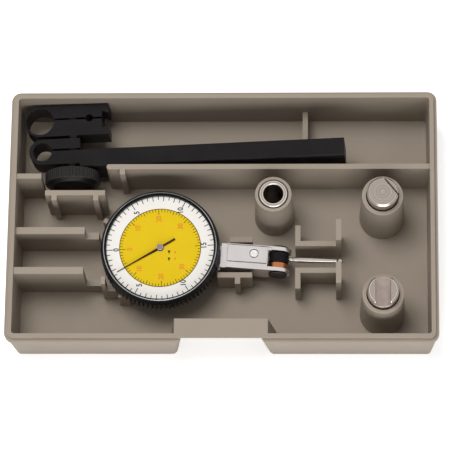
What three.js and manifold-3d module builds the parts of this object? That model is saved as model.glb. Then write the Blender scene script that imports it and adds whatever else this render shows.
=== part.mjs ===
// Boxed dial test indicator: case tray, lever-type indicator, swivel holder and three stems.
// Millimetres, +Z up, +X to the right and +Y to the back of the tray.
// The origin is the middle of the tray's underside.

import * as THREE from 'three';
import { mergeVertices } from 'three/addons/utils/BufferGeometryUtils.js';
import Module from 'manifold-3d';

// Clearances
const seatGap = 0.3;
const runningGap = 0.3;
const bearingGap = 0.15;
const cutOverrun = 1;

// Case tray shell
const trayInnerWidth = 139;
const trayInnerDepth = 82.8;
const trayHeight = 24;
const trayFloor = 2.2;
const trayRimWall = 1.4;
const trayRimStep = 1.6;
const trayFlange = 1.1;
const trayFlangeLip = 1.8;
const trayLipProud = 0.3;
const trayOuterLean = 1.8;
const trayInnerLean = 0.6;
const trayCornerRadius = 3.2;
const trayFootCornerRadius = 1.4;
const trayInnerCornerRadius = 1;

// Thumb notch in the front wall
const notchWidth = 31;
const notchReach = 5.1;
const notchWall = 1.4;
const notchSideWall = 2.4;
const notchFlare = 2.4;
const notchMouthRadius = 2;
const notchRimThickness = 0.9;

// Tray ribs and dividers
const ribThickness = 1.8;
const dividerThickness = 2.4;
const dividerDrop = 0.8;
const lowDividerDrop = 2.8;
const longDividerFromBack = 24.3;
const longDividerFromHolder = 13.2;
const buttressAlong = 4.5;
const buttressReach = 1.8;
const barRestFromHolder = 79;
const knobDividerY = 13.85;
const knobPlateWidth = 20.2;
const knobPlateGap = 3.5;
const knobPlateShift = 1.9;
const knobPlateRibInset = 3.1;
const leftDividerLength = 23.3;
const rearDividerFromFront = 36.6;
const frontDividerFromFront = 22;
const rearLedgeHeight = 13;
const frontLedgeHeight = 7;
const frontLedgeLength = 6;
const guideGap = 0.9;
const guideThickness = 1.4;
const guideHeight = 12.6;
const guideWidth = 1.6;
const guideAngle = THREE.MathUtils.degToRad(150);
const tallGuideAngle = THREE.MathUtils.degToRad(209.7);
const tallGuideHeight = 17.8;
const tallGuideDepth = 2.7;
const lowGuideAngle = THREE.MathUtils.degToRad(227.2);
const guideFootLength = 3.5;
const knobRestHalf = 5;
const noseRibHeight = 12.2;
const noseRibRearGap = 0.9;
const noseRibFrontGap = 0.7;
const noseRibRearFromSeat = 5.8;
const noseRibFrontFromSeat = 1.7;
const noseRibFromPivot = 8.8;
const noseBraceFromEnd = 4.9;
const noseBraceReach = 2.2;
const channelWidth = 7.6;
const channelFromPivot = 5.6;
const channelShift = 0.95;
const channelLength = 15.5;
const channelArm = 7.3;
const channelRibHeight = 13;
const channelPostHeight = 19.8;

// Stem sockets of the tray
const smallSocketFromIndicator = 38;
const smallSocketY = 6;
const smallSocketRadius = 6.05;
const smallSocketAboveRim = 3;
const largeSocketFromRight = 16;
const largeSocketRearY = 5.7;
const largeSocketFrontY = -28.4;
const largeSocketRadius = 6.85;
const largeSocketAboveRim = 1.8;
const socketLean = 0.8;

// Place of the indicator in the tray
const indicatorFromLeft = 48.6;
const indicatorY = -10.13;
const indicatorTurn = THREE.MathUtils.degToRad(-4.4);

// Indicator frame
const pivotReach = 39.7;
const pivotHeight = 9.8;
const dovetailWide = 6.35;
const dovetailNarrow = 4.6;
const dovetailHeight = 2;
const coverThickness = 1;
const blockHeight = 6.2;
const blockBackInset = 3.4;
const blockHalfWidth = 6.4;
const seatFoot = 0.6;
const seatRadius = 17.4;
const seatHeight = 4.5;
const noseHalfWidth = 4.2;
const noseDepth = 9;
const prongRadius = 4;
const prongLength = 7.6;
const slotHalfWidth = 2.95;
const neckLength = 1.9;
const neckDrop = 0.7;
const chamberHalfLength = 6.5;
const chamberHalfWidth = 5.2;
const tunnelWidth = 1.8;
const tunnelRoof = 0.4;
const tunnelFloor = 0.9;
const noseRoof = 1.3;

// Small fasteners
const screwRadius = 0.75;
const screwHeadRadius = 1.3;
const screwHeadHeight = 0.7;
const screwLength = 3;
const screwSlotWidth = 0.35;
const screwSlotDepth = 0.35;
const coverScrewInset = 5.8;
const coverScrewAcross = 4.7;
const plateScrewInset = 3;

// Nose cover plate
const noseCoverThickness = 0.5;
const noseCoverRear = 3.7;
const noseCoverFront = 1.9;
const noseScrewFromPivot = 8.3;
const noseScrewAcross = 1.2;

// Bezel, dial and crystal
const bezelWall = 2.6;
const bezelHeight = 8.3;
const bezelRidges = 80;
const bezelRidgeDepth = 0.8;
const bezelPlainHeight = 2;
const bezelLean = 0.5;
const bezelRound = 0.3;
const bezelFoot = 0.6;
const bezelLedge = 0.9;
const bezelLedgeReach = 0.7;
const dialOverSeat = 1;
const dialThickness = 0.5;
const dialBoreRadius = 1.2;
const spacerWall = 0.35;
const spacerHeight = 0.6;
const crystalThickness = 0.5;
const frictionRingHeight = 0.6;
const frictionRingWall = 0.5;
const frictionGrooveDepth = 0.8;

// Pointer and its arbor
const pointerTurn = THREE.MathUtils.degToRad(-144.6);
const pointerTipInset = 1.8;
const pointerTail = 5.8;
const pointerHalfWidth = 0.32;
const pointerTipHalfWidth = 0.1;
const pointerThickness = 0.25;
const pointerHubRadius = 1.15;
const pointerArborRadius = 0.35;
const movementPlateInset = 1.2;
const movementPlateThickness = 0.8;
const upperJewelRadius = 1.2;
const cockThickness = 1.2;
const cockHalfWidth = 1.6;
const cockFront = 0.8;
const pointerPivotRadius = 0.2;
const pointerRise = 0.3;

// Gear train
const pointerPinionTeeth = 8;
const crownTeeth = 44;
const leverPinionTeeth = 8;
const strokePerTurn = 0.8;
const stylusReach = 20.9;
const crownModule = 0.2;
const crownToothLength = 0.8;
const crownToothHeight = 0.42;
const crownDiscThickness = 0.45;
const crownOffset = 0.62;
const toothThicknessShare = 0.38;
const crownToothShare = 0.3;
const toothRootShare = 1.35;
const toothTipShare = 0.5;
const addendumShare = 0.75;
const dedendumShare = 1.05;
const wheelArborRadius = 0.45;
const leverPinionLength = 1.3;
const bushingRadius = 1.25;
const bushingLength = 1;

// Hairspring
const hairspringTurns = 4.5;
const hairspringInner = 1.1;
const hairspringPitch = 0.6;
const hairspringThickness = 0.12;
const hairspringHeight = 0.4;
const colletWall = 0.25;
const studRadius = 0.45;

// Sector lever
const leverThickness = 0.7;
const leverHubRadius = 3.15;
const leverHubLength = 1.7;
const leverArmHeight = 1.2;
const leverArmDrop = 3.1;
const leverCrankFromPivot = 9.7;
const leverCrankRoot = 1.2;
const sectorDepth = 1.9;
const sectorTeethAbove = 1;
const sectorTeethBelow = 3;

// Pivot and stylus
const pivotPinRadius = 0.6;
const pivotCapRadius = 3.15;
const pivotCapThickness = 0.7;
const drumRadius = 3.3;
const stylusElevation = THREE.MathUtils.degToRad(8);
const stylusThreadRadius = 0.6;
const stylusThreadEntry = 1.4;
const stylusNeckRadius = 0.8;
const stylusNeckLength = 1.2;
const stylusGroove = 0.5;
const stylusGrooveRadius = 0.5;
const stylusCollarRadius = 0.95;
const stylusCollarLength = 1.9;
const stylusTipRadius = 0.6;
const stylusBallRadius = 1;

// Swivel holder
const holderFromLeft = 18;
const holderHeight = 15;
const holderYaw = THREE.MathUtils.degToRad(1.5);
const holderPitch = THREE.MathUtils.degToRad(3.2);
const eyeY = 24.2;
const eyeReach = 9.8;
const eyeBoreRadius = 3.2;
const armHalfWidth = 4.5;
const armHalfHeight = 4.3;
const armEnd = 3;
const barOverlap = 2;
const jawSlit = 0.8;
const jawSlitOffset = 0.6;
const barWidth = 6.35;
const barHeight = 12.7;
const barEnd = 92.6;
const barFront = 5.85;
const barCornerRadius = 0.6;
const swivelGap = 1.1;
const swivelWidth = 10.8;
const swivelBoreRadius = 4.75;
const swivelEyeReach = 10.6;
const swivelEnd = 12.8;
const reliefHoleRadius = 1.35;
const reliefHoleX = 6.2;
const dovetailMouth = 4.8;
const dovetailMouthDepth = 2.3;
const clampScrewRadius = 1.95;
const clampScrewBackCover = 1.8;
const clampScrewHole = 2.25;
const collarRadius = 2.65;
const collarLength = 2;
const knobRadius = 9.35;
const knobLength = 4.8;
const knobChamfer = 1.2;
const knobRidges = 60;
const knobRidgeDepth = 0.35;
const knobDishRadius = 6.4;
const knobDishDepth = 0.8;

// Stems
const sleeveRadius = 4.76;
const sleeveBoreRadius = 3.25;
const sleeveChamfer = 0.35;
const sleeveProud = 0.6;
const stemHeadRadius = 5.2;
const stemHeadProud = 4.6;
const stemHeadLength = 9.4;
const stemHeadChamfer = 0.6;
const stemThinRadius = 3.17;
const stemThickRadius = 4;
const stemSlitOffset = 3.45;
const stemSlitWidth = 0.6;
const stemSlitDepth = 3;
const stemSlitTurn = THREE.MathUtils.degToRad(39);
const stemGrooveDepth = 2.4;
const stemGrooveNarrow = 4.9;

// Numbers of flat faces on round surfaces
const largeSegments = 72;
const middleSegments = 40;
const smallSegments = 20;
const cornerSegments = 5;

// Finishes
function finish(color, roughness, metalness) {
  return new THREE.MeshStandardMaterial({ color, roughness, metalness });
}

const trayPlastic = () => finish(0x9b907e, 0.62, 0);
const satinChrome = () => finish(0xd4d3d6, 0.35, 0.95);
const brightSteel = () => finish(0xc4c1bd, 0.25, 1);
const blackOxide = () => finish(0x1d1d20, 0.5, 0.6);
const blackAnodised = () => finish(0x141518, 0.4, 0.5);
const brass = () => finish(0xb08d4a, 0.35, 1);
const bronze = () => finish(0xa5613a, 0.35, 1);
const rubyJewel = () => finish(0x8c1d34, 0.1, 0);
const dialWhite = () => finish(0xf3efe8, 0.5, 0);
const pointerBrown = () => finish(0x3a1610, 0.45, 0.1);
const clearCrystal = () => finish(0xe8eef0, 0.05, 0);

// Solid helpers
const wasm = await Module();
wasm.setup();

function weld(geometry) {
  const bare = new THREE.BufferGeometry();
  bare.setAttribute('position', geometry.getAttribute('position').clone());
  if (geometry.index) {
    bare.setIndex(geometry.index.clone());
  }
  const merged = mergeVertices(bare);
  const index = merged.index.array;
  const kept = [];
  for (let i = 0; i < index.length; i += 3) {
    const [a, b, c] = [index[i], index[i + 1], index[i + 2]];
    if (a !== b && b !== c && c !== a) {
      kept.push(a, b, c);
    }
  }
  merged.setIndex(kept);
  return merged;
}

function solid(geometry) {
  const welded = weld(geometry);
  const vertProperties = new Float32Array(welded.getAttribute('position').array);
  const triVerts = new Uint32Array(welded.index.array);
  return new wasm.Manifold(new wasm.Mesh({ numProp: 3, vertProperties, triVerts }));
}

function geometryOf(shape) {
  const mesh = shape.getMesh();
  const geometry = new THREE.BufferGeometry();
  geometry.setAttribute('position', new THREE.BufferAttribute(mesh.vertProperties, 3));
  geometry.setIndex(new THREE.BufferAttribute(mesh.triVerts, 1));
  geometry.computeVertexNormals();
  return geometry;
}

const join = (first, ...others) => others.reduce((sum, other) => sum.add(other), first);
const cut = (first, ...others) => others.reduce((rest, other) => rest.subtract(other), first);

// A box between two corners
function block(x0, x1, y0, y1, z0, z1) {
  const geometry = new THREE.BoxGeometry(x1 - x0, y1 - y0, z1 - z0);
  geometry.translate((x0 + x1) / 2, (y0 + y1) / 2, (z0 + z1) / 2);
  return solid(geometry);
}

// A flat outline raised from z0 to z1
function prismGeometry(shape, z0, z1, curveSegments = cornerSegments) {
  const geometry = new THREE.ExtrudeGeometry(shape, { depth: z1 - z0, bevelEnabled: false, curveSegments });
  geometry.translate(0, 0, z0);
  return geometry;
}

const prism = (shape, z0, z1, curveSegments) => solid(prismGeometry(shape, z0, z1, curveSegments));

function polygon(points) {
  return new THREE.Shape(points.map(([x, y]) => new THREE.Vector2(x, y)));
}

// An outline in X and Z, given thickness from y0 to y1
function upright(shape, y0, y1, curveSegments) {
  const geometry = prismGeometry(shape, -y1, -y0, curveSegments);
  geometry.rotateX(Math.PI / 2);
  return solid(geometry);
}

// A profile of radius and height turned round the Z axis
function turned(profile, segments) {
  const points = profile.map(([radius, height]) => new THREE.Vector2(radius, height));
  const geometry = new THREE.LatheGeometry(points, segments);
  geometry.rotateX(Math.PI / 2);
  return solid(geometry);
}

function rod(radius, z0, z1, segments = smallSegments) {
  return turned([[0, z0], [radius, z0], [radius, z1], [0, z1]], segments);
}

function ring(inner, outer, z0, z1, segments = middleSegments) {
  return turned([[inner, z0], [outer, z0], [outer, z1], [inner, z1], [inner, z0]], segments);
}

// A turned shape laid along Y: its height runs from low y to high y
const alongY = (shape) => moved(shape, new THREE.Matrix4().makeRotationX(-Math.PI / 2));
// A turned shape laid along X
const alongX = (shape) => moved(shape, new THREE.Matrix4().makeRotationY(Math.PI / 2));
const shifted = (shape, x, y, z) => moved(shape, new THREE.Matrix4().makeTranslation(x, y, z));
const turnedAboutZ = (shape, angle) => moved(shape, new THREE.Matrix4().makeRotationZ(angle));

function moved(shape, matrix) {
  const geometry = geometryOf(shape);
  geometry.applyMatrix4(matrix);
  return solid(geometry);
}

function roundedRectangle(halfWidth, halfDepth, radius) {
  const shape = new THREE.Shape();
  shape.moveTo(halfWidth - radius, -halfDepth);
  shape.absarc(halfWidth - radius, radius - halfDepth, radius, -Math.PI / 2, 0);
  shape.absarc(halfWidth - radius, halfDepth - radius, radius, 0, Math.PI / 2);
  shape.absarc(radius - halfWidth, halfDepth - radius, radius, Math.PI / 2, Math.PI);
  shape.absarc(radius - halfWidth, radius - halfDepth, radius, Math.PI, Math.PI * 1.5);
  return shape;
}

// A rounded block whose foot is smaller than its top by lean on each side, with its own corner radius
function leaning(halfWidth, halfDepth, radius, z0, z1, lean, footRadius) {
  const geometry = prismGeometry(roundedRectangle(halfWidth, halfDepth, radius), z0, z1);
  const position = geometry.getAttribute('position');
  const middle = (z0 + z1) / 2;
  const toFoot = (value, half) => {
    const inCorner = Math.abs(value) - (half - radius);
    return Math.sign(value) * (half - lean - footRadius + inCorner * footRadius / radius);
  };
  for (let i = 0; i < position.count; i += 1) {
    if (position.getZ(i) < middle) {
      position.setX(i, toFoot(position.getX(i), halfWidth));
      position.setY(i, toFoot(position.getY(i), halfDepth));
    }
  }
  return solid(geometry);
}

// A block between an outline at its foot and one at its top that have the same number of corners
function tapered(foot, top, z0, z1) {
  const geometry = prismGeometry(polygon(top), z0, z1);
  const position = geometry.getAttribute('position');
  const middle = (z0 + z1) / 2;
  for (let i = 0; i < position.count; i += 1) {
    if (position.getZ(i) < middle) {
      const away = top.map(([x, y]) => Math.hypot(x - position.getX(i), y - position.getY(i)));
      const [x, y] = foot[away.indexOf(Math.min(...away))];
      position.setX(i, x);
      position.setY(i, y);
    }
  }
  return solid(geometry);
}

// The outline of an edge with square teeth, used by the bezel
function toothedCircle(radius, depth, ridges) {
  const points = [];
  for (let i = 0; i < ridges * 4; i += 1) {
    const angle = Math.PI * i / ridges / 2;
    const reach = i % 4 < 2 ? radius : radius - depth;
    points.push([reach * Math.cos(angle), reach * Math.sin(angle)]);
  }
  return polygon(points);
}

// The outline of an edge with pointed ridges, used by the knob
function ridgedCircle(radius, depth, ridges) {
  const points = [];
  for (let i = 0; i < ridges * 2; i += 1) {
    const angle = Math.PI * i / ridges;
    const reach = i % 2 === 0 ? radius : radius - depth;
    points.push([reach * Math.cos(angle), reach * Math.sin(angle)]);
  }
  return polygon(points);
}

// The four corners of a tooth: reach from the centre and angle from the middle of the tooth
function toothCorners(root, tip, halfAngle) {
  return [
    [root, -halfAngle * toothRootShare], [tip, -halfAngle * toothTipShare],
    [tip, halfAngle * toothTipShare], [root, halfAngle * toothRootShare],
  ];
}

// The outline of a spur gear with straight-sided teeth, the first tooth on the X axis
function gearOutline(teeth, toothModule) {
  const pitchRadius = teeth * toothModule / 2;
  const tip = pitchRadius + toothModule * addendumShare;
  const root = pitchRadius - toothModule * dedendumShare;
  const halfAngle = Math.PI * toothThicknessShare / teeth;
  const points = [];
  for (let i = 0; i < teeth; i += 1) {
    const middle = Math.PI * 2 * i / teeth;
    toothCorners(root, tip, halfAngle).forEach(([reach, offset]) => {
      points.push([reach * Math.cos(middle + offset), reach * Math.sin(middle + offset)]);
    });
  }
  return polygon(points);
}

// A slotted screw standing along +Z, its head's top at z = 0
function slottedScrew(radius, headRadius, headHeight, length) {
  const body = turned([
    [0, -length], [radius, -length], [radius, -headHeight],
    [headRadius, -headHeight], [headRadius, 0], [0, 0],
  ], smallSegments);
  const slot = block(
    -headRadius - cutOverrun, headRadius + cutOverrun,
    -screwSlotWidth / 2, screwSlotWidth / 2, -screwSlotDepth, cutOverrun,
  );
  return cut(body, slot);
}

// The pocket that a slotted screw sits in, with the named gap all round
function screwPocket(radius, headRadius, headHeight, length) {
  return turned([
    [0, -length - seatGap], [radius + seatGap, -length - seatGap], [radius + seatGap, -headHeight - seatGap],
    [headRadius + seatGap, -headHeight - seatGap], [headRadius + seatGap, cutOverrun], [0, cutOverrun],
  ], smallSegments);
}

const root = new THREE.Group();

function add(parent, name, shape, material) {
  const mesh = new THREE.Mesh(geometryOf(shape), material);
  mesh.name = name;
  parent.add(mesh);
  return mesh;
}

// Places of the pieces, counted from the tray's walls and rim
const halfWidth = trayInnerWidth / 2;
const halfDepth = trayInnerDepth / 2;
const holderX = holderFromLeft - halfWidth;
const indicatorX = indicatorFromLeft - halfWidth;
const pivotX = indicatorX + pivotReach * Math.cos(indicatorTurn);
const pivotY = indicatorY + pivotReach * Math.sin(indicatorTurn);
const smallSocketX = indicatorX + smallSocketFromIndicator;
const largeSocketX = halfWidth - largeSocketFromRight;
const smallSocketHeight = trayHeight + smallSocketAboveRim - trayFloor;
const largeSocketHeight = trayHeight + largeSocketAboveRim - trayFloor;

// Radii and lengths that go with the dial seat
const bezelRadius = seatRadius + bezelWall;
const dialRadius = seatRadius + dialOverSeat;
const pointerReach = dialRadius - pointerTipInset;
const movementPlateRadius = seatRadius - movementPlateInset;
const plateScrewAlong = movementPlateRadius - plateScrewInset;
const blockBack = seatRadius - blockBackInset;
const coverScrewAlong = seatRadius - coverScrewInset;

// Heights in the indicator, above the face of its back dovetail
const blockBottom = dovetailHeight + coverThickness + seatGap;
const blockTop = blockBottom + blockHeight;
const blockFront = seatRadius;
const bezelBottom = blockTop + runningGap;
const bezelTop = bezelBottom + bezelHeight;
const seatTop = blockTop + seatHeight;
const noseTop = pivotHeight + prongRadius;
const noseBottom = noseTop - noseDepth;
const noseStart = bezelRadius + runningGap;
const prongStart = pivotReach - prongRadius - (prongLength - prongRadius * 2);
const movementPlateBottom = seatTop + seatGap;
const movementPlateTop = movementPlateBottom + movementPlateThickness;
const ledgeBottom = seatTop + runningGap * 2;
const ledgeTop = ledgeBottom + bezelLedge;
const dialBottom = ledgeTop + seatGap;
const dialTop = dialBottom + dialThickness;
const spacerBottom = dialTop + seatGap;
const spacerTop = spacerBottom + spacerHeight;
const crystalBottom = spacerTop + seatGap;
const crystalTop = crystalBottom + crystalThickness;

// Gear sizes worked out from the wanted stroke per pointer turn
const crownPitchRadius = crownTeeth * crownModule / 2;
const crownRadius = crownPitchRadius + crownToothLength / 2;
const arborHeight = dovetailHeight + coverThickness + seatGap + crownRadius;
const centreDistance = Math.hypot(pivotReach, pivotHeight - arborHeight);
const wholeRatio = Math.PI * 2 * stylusReach / strokePerTurn;
const leverRatio = wholeRatio * pointerPinionTeeth / crownTeeth;
const leverPinionRadius = centreDistance / (leverRatio + 1);
const sectorRadius = centreDistance - leverPinionRadius;
const leverModule = leverPinionRadius * 2 / leverPinionTeeth;
const leverLineAngle = Math.atan2(pivotHeight - arborHeight, pivotReach);
const crownDiscFront = -crownOffset - crownToothHeight - crownDiscThickness;
const leverRear = crownDiscFront - bearingGap * 3;
const leverFront = leverRear - leverThickness;

// Case tray
function makeTray() {
  const flangeTop = trayHeight - trayRimStep;
  const flange = trayRimWall + trayFlange;
  const lipBottom = flangeTop - trayFlangeLip;
  const wallReach = flange - trayLipProud;
  const wall = leaning(
    halfWidth + wallReach, halfDepth + wallReach, trayCornerRadius, 0, lipBottom,
    trayOuterLean, trayFootCornerRadius,
  );
  const lipOutline = roundedRectangle(halfWidth + flange, halfDepth + flange, trayCornerRadius);
  const lip = prism(lipOutline, lipBottom, flangeTop);
  const rimCorner = trayCornerRadius - trayFlange;
  const rimOutline = roundedRectangle(halfWidth + trayRimWall, halfDepth + trayRimWall, rimCorner);
  const rim = prism(rimOutline, lipBottom, trayHeight);
  const cavityTop = trayHeight + cutOverrun;
  const cavity = leaning(
    halfWidth, halfDepth, trayInnerCornerRadius, trayFloor, cavityTop, trayInnerLean, trayInnerCornerRadius,
  );
  const shell = cut(join(wall, lip, rim), cavity);

  // Thumb notch: the front wall steps inward under the rim and leans like the outer wall
  const notchY = notchReach - halfDepth;
  const notchHalf = notchWidth / 2;
  const footHalf = notchHalf + notchFlare;
  const notchFront = -halfDepth - trayRimWall / 2;
  const footShift = trayOuterLean + trayLipProud;
  const notchBlock = tapered(
    [
      [-footHalf, -halfDepth], [footHalf, -halfDepth],
      [footHalf, notchY + footShift], [-footHalf, notchY + footShift],
    ],
    [[-notchHalf, notchFront], [notchHalf, notchFront], [notchHalf, notchY], [-notchHalf, notchY]],
    0, trayHeight,
  );

  // The recess of the notch, with rounded corners where it meets the front wall
  const mouthY = -halfDepth - flange;
  const recessOutline = (half, shift) => {
    const back = notchY - notchWall + shift;
    const centre = mouthY + notchMouthRadius + shift;
    const right = [];
    for (let i = 0; i <= cornerSegments; i += 1) {
      const angle = Math.PI + Math.PI / 2 * i / cornerSegments;
      right.push([
        half + notchMouthRadius + notchMouthRadius * Math.cos(angle),
        centre + notchMouthRadius * Math.sin(angle),
      ]);
    }
    right.push([half + notchMouthRadius, mouthY - cutOverrun]);
    const left = right.map(([x, y]) => [-x, y]);
    return [[half, back], [-half, back], ...left, ...right.reverse()];
  };
  const recessHalf = notchHalf - notchSideWall;
  const recess = tapered(
    recessOutline(recessHalf + notchFlare, footShift), recessOutline(recessHalf, 0),
    -cutOverrun, trayHeight - notchRimThickness,
  );

  // Long divider behind the dial, with its rounded end and one buttress
  const dividerTop = trayHeight - dividerDrop;
  const longY = halfDepth - longDividerFromBack;
  const halfRib = ribThickness / 2;
  const longStart = holderX + longDividerFromHolder;
  const ribs = [rib(longStart, halfWidth, longY - halfRib, longY + halfRib, dividerTop)];
  ribs.push(shifted(rod(halfRib, trayFloor / 2, dividerTop), longStart, longY, 0));
  const buttressX = longStart + buttressAlong;
  const buttressY = longY - halfRib - buttressReach;
  ribs.push(rib(buttressX - halfRib, buttressX + halfRib, buttressY, longY, dividerTop));

  // Rest under the bar and rest under the knob
  const restX = holderX + barRestFromHolder;
  const barDrop = (barHeight - armHalfHeight) / Math.cos(holderPitch);
  const barUnder = holderHeight + (restX - halfRib - holderX) * Math.tan(holderPitch) - barDrop;
  ribs.push(rib(restX - halfRib, restX + halfRib, longY, halfDepth, barUnder - seatGap));
  const knobBack = eyeY - armHalfWidth - seatGap * 2 - collarLength;
  const knobFront = knobBack - knobLength;
  const knobRestTop = holderHeight - knobRadius - seatGap;
  ribs.push(rib(holderX - knobRestHalf, holderX + knobRestHalf, knobFront, knobBack, knobRestTop));

  // Stub divider left of the knob and the braced plate in front of it
  const stubEnd = holderX - knobRadius - seatGap;
  ribs.push(rib(-halfWidth, stubEnd, knobDividerY - halfRib, knobDividerY + halfRib, dividerTop));
  const plateY = knobFront - knobPlateGap - halfRib;
  const plateLeft = holderX + knobPlateShift - knobPlateWidth / 2;
  const plateRight = plateLeft + knobPlateWidth;
  ribs.push(rib(plateLeft, plateRight, plateY - halfRib, plateY + halfRib, dividerTop));
  [plateLeft + knobPlateRibInset, plateRight - knobPlateRibInset].forEach((x) => {
    ribs.push(rib(x - halfRib, x + halfRib, plateY - halfRib - buttressReach, plateY, dividerTop));
  });

  // Two dividers left of the dial, each going on lower towards it
  const halfDivider = dividerThickness / 2;
  const dividerEnd = leftDividerLength - halfWidth;
  const rearY = rearDividerFromFront - halfDepth;
  const frontY = frontDividerFromFront - halfDepth;
  const rearSpan = [rearY - halfDivider, rearY + halfDivider];
  const frontSpan = [frontY - halfDivider, frontY + halfDivider];
  ribs.push(rib(-halfWidth, dividerEnd, ...rearSpan, trayHeight - lowDividerDrop));
  ribs.push(rib(-halfWidth, dividerEnd, ...frontSpan, dividerTop));
  const rearLedgeEnd = indicatorX - bezelRadius - guideGap;
  ribs.push(rib(dividerEnd, rearLedgeEnd, ...rearSpan, trayFloor + rearLedgeHeight));
  const frontLedgeEnd = dividerEnd + frontLedgeLength;
  ribs.push(rib(dividerEnd, frontLedgeEnd, ...frontSpan, trayFloor + frontLedgeHeight));

  // Guides round the edge of the bezel: a post, a tall corner with a foot and a low plate
  const guideReach = bezelRadius + guideGap;
  const post = rib(
    guideReach, guideReach + guideThickness, -guideWidth / 2, guideWidth / 2, trayFloor + guideHeight,
  );
  ribs.push(shifted(turnedAboutZ(post, guideAngle), indicatorX, indicatorY, 0));
  const footTop = trayFloor + bezelBottom;
  const tallX = indicatorX + guideReach * Math.cos(tallGuideAngle);
  const tallBack = indicatorY + guideReach * Math.sin(tallGuideAngle);
  const tallFront = tallBack - tallGuideDepth;
  ribs.push(rib(tallX - guideThickness, tallX, tallFront, tallBack, trayFloor + tallGuideHeight));
  const footStart = tallX - guideThickness / 2;
  ribs.push(rib(footStart, tallX + guideFootLength, tallFront, tallFront + guideThickness, footTop));
  const lowX = indicatorX + guideReach * Math.cos(lowGuideAngle);
  const lowY = indicatorY + guideReach * Math.sin(lowGuideAngle);
  ribs.push(rib(lowX, lowX + guideFootLength, lowY, lowY + guideThickness, footTop));

  // Ribs on both sides of the indicator's nose, the front one with a brace
  const noseMiddle = (x) => indicatorY + (x - indicatorX) * Math.tan(indicatorTurn);
  const noseRibTop = trayFloor + noseRibHeight;
  const rearStart = indicatorX + blockFront + noseRibRearFromSeat;
  const frontStart = indicatorX + blockFront + noseRibFrontFromSeat;
  const noseRibEnd = pivotX - noseRibFromPivot;
  const rearRibY = noseMiddle(rearStart) + noseHalfWidth + noseRibRearGap;
  ribs.push(rib(rearStart, noseRibEnd, rearRibY, rearRibY + ribThickness, noseRibTop));
  const frontRibY = noseMiddle(noseRibEnd) - noseHalfWidth - noseRibFrontGap;
  ribs.push(rib(frontStart, noseRibEnd, frontRibY - ribThickness, frontRibY, noseRibTop));
  const braceX = noseRibEnd - noseBraceFromEnd;
  const braceY = frontRibY - ribThickness - noseBraceReach;
  ribs.push(rib(braceX - halfRib, braceX + halfRib, braceY, frontRibY, noseRibTop));

  // Two U-shaped ribs that leave a channel for the stylus
  const channelStart = pivotX + channelFromPivot;
  const channelEnd = channelStart + channelLength;
  const channelTop = trayFloor + channelRibHeight;
  const postTop = trayFloor + channelPostHeight;
  [1, -1].forEach((side) => {
    const inner = pivotY + channelShift + side * channelWidth / 2;
    const far = inner + side * channelArm;
    const barFar = inner + side * ribThickness;
    const span = (a, b) => [Math.min(a, b), Math.max(a, b)];
    ribs.push(rib(channelStart, channelEnd - ribThickness / 2, ...span(inner, barFar), channelTop));
    ribs.push(rib(channelStart, channelStart + ribThickness, ...span(inner, far), channelTop));
    ribs.push(rib(channelEnd - ribThickness, channelEnd, ...span(inner, far), postTop));
  });

  // Stem sockets
  const sockets = socketPlaces.map(({ x, y, radius, height }) => shifted(turned([
    [0, trayFloor / 2], [radius + socketLean, trayFloor / 2],
    [radius, trayFloor + height], [0, trayFloor + height],
  ], middleSegments), x, y, 0));
  const bores = socketPlaces.map(({ x, y, bore, height }) => {
    return shifted(rod(bore, trayFloor, trayFloor + height + cutOverrun, middleSegments), x, y, 0);
  });
  return cut(join(shell, notchBlock, ...ribs, ...sockets), recess, ...bores);
}

const rib = (x0, x1, y0, y1, top) => block(x0, x1, y0, y1, trayFloor / 2, top);

const smallSocket = {
  radius: smallSocketRadius, height: smallSocketHeight, bore: sleeveRadius + seatGap,
};
const largeSocket = {
  radius: largeSocketRadius, height: largeSocketHeight, bore: stemHeadRadius + seatGap,
};
const socketPlaces = [
  { x: smallSocketX, y: smallSocketY, ...smallSocket },
  { x: largeSocketX, y: largeSocketRearY, ...largeSocket },
  { x: largeSocketX, y: largeSocketFrontY, ...largeSocket },
];

add(root, 'case_tray', makeTray(), trayPlastic());

// Indicator, turned a little in the tray and standing on its back dovetail
const indicator = new THREE.Group();
indicator.position.set(indicatorX, indicatorY, trayFloor + seatGap);
indicator.rotation.z = indicatorTurn;
root.add(indicator);

// Frame: block, round dial seat, nose and two prongs
const coverScrewPlaces = [];
[-coverScrewAlong, coverScrewAlong].forEach((x) => {
  [-coverScrewAcross, coverScrewAcross].forEach((y) => coverScrewPlaces.push([x, y]));
});
const plateScrewPlaces = [-plateScrewAlong, plateScrewAlong];
const noseScrewX = pivotReach - noseScrewFromPivot;
const frictionMiddle = (bezelBottom + ledgeBottom) / 2;

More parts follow.
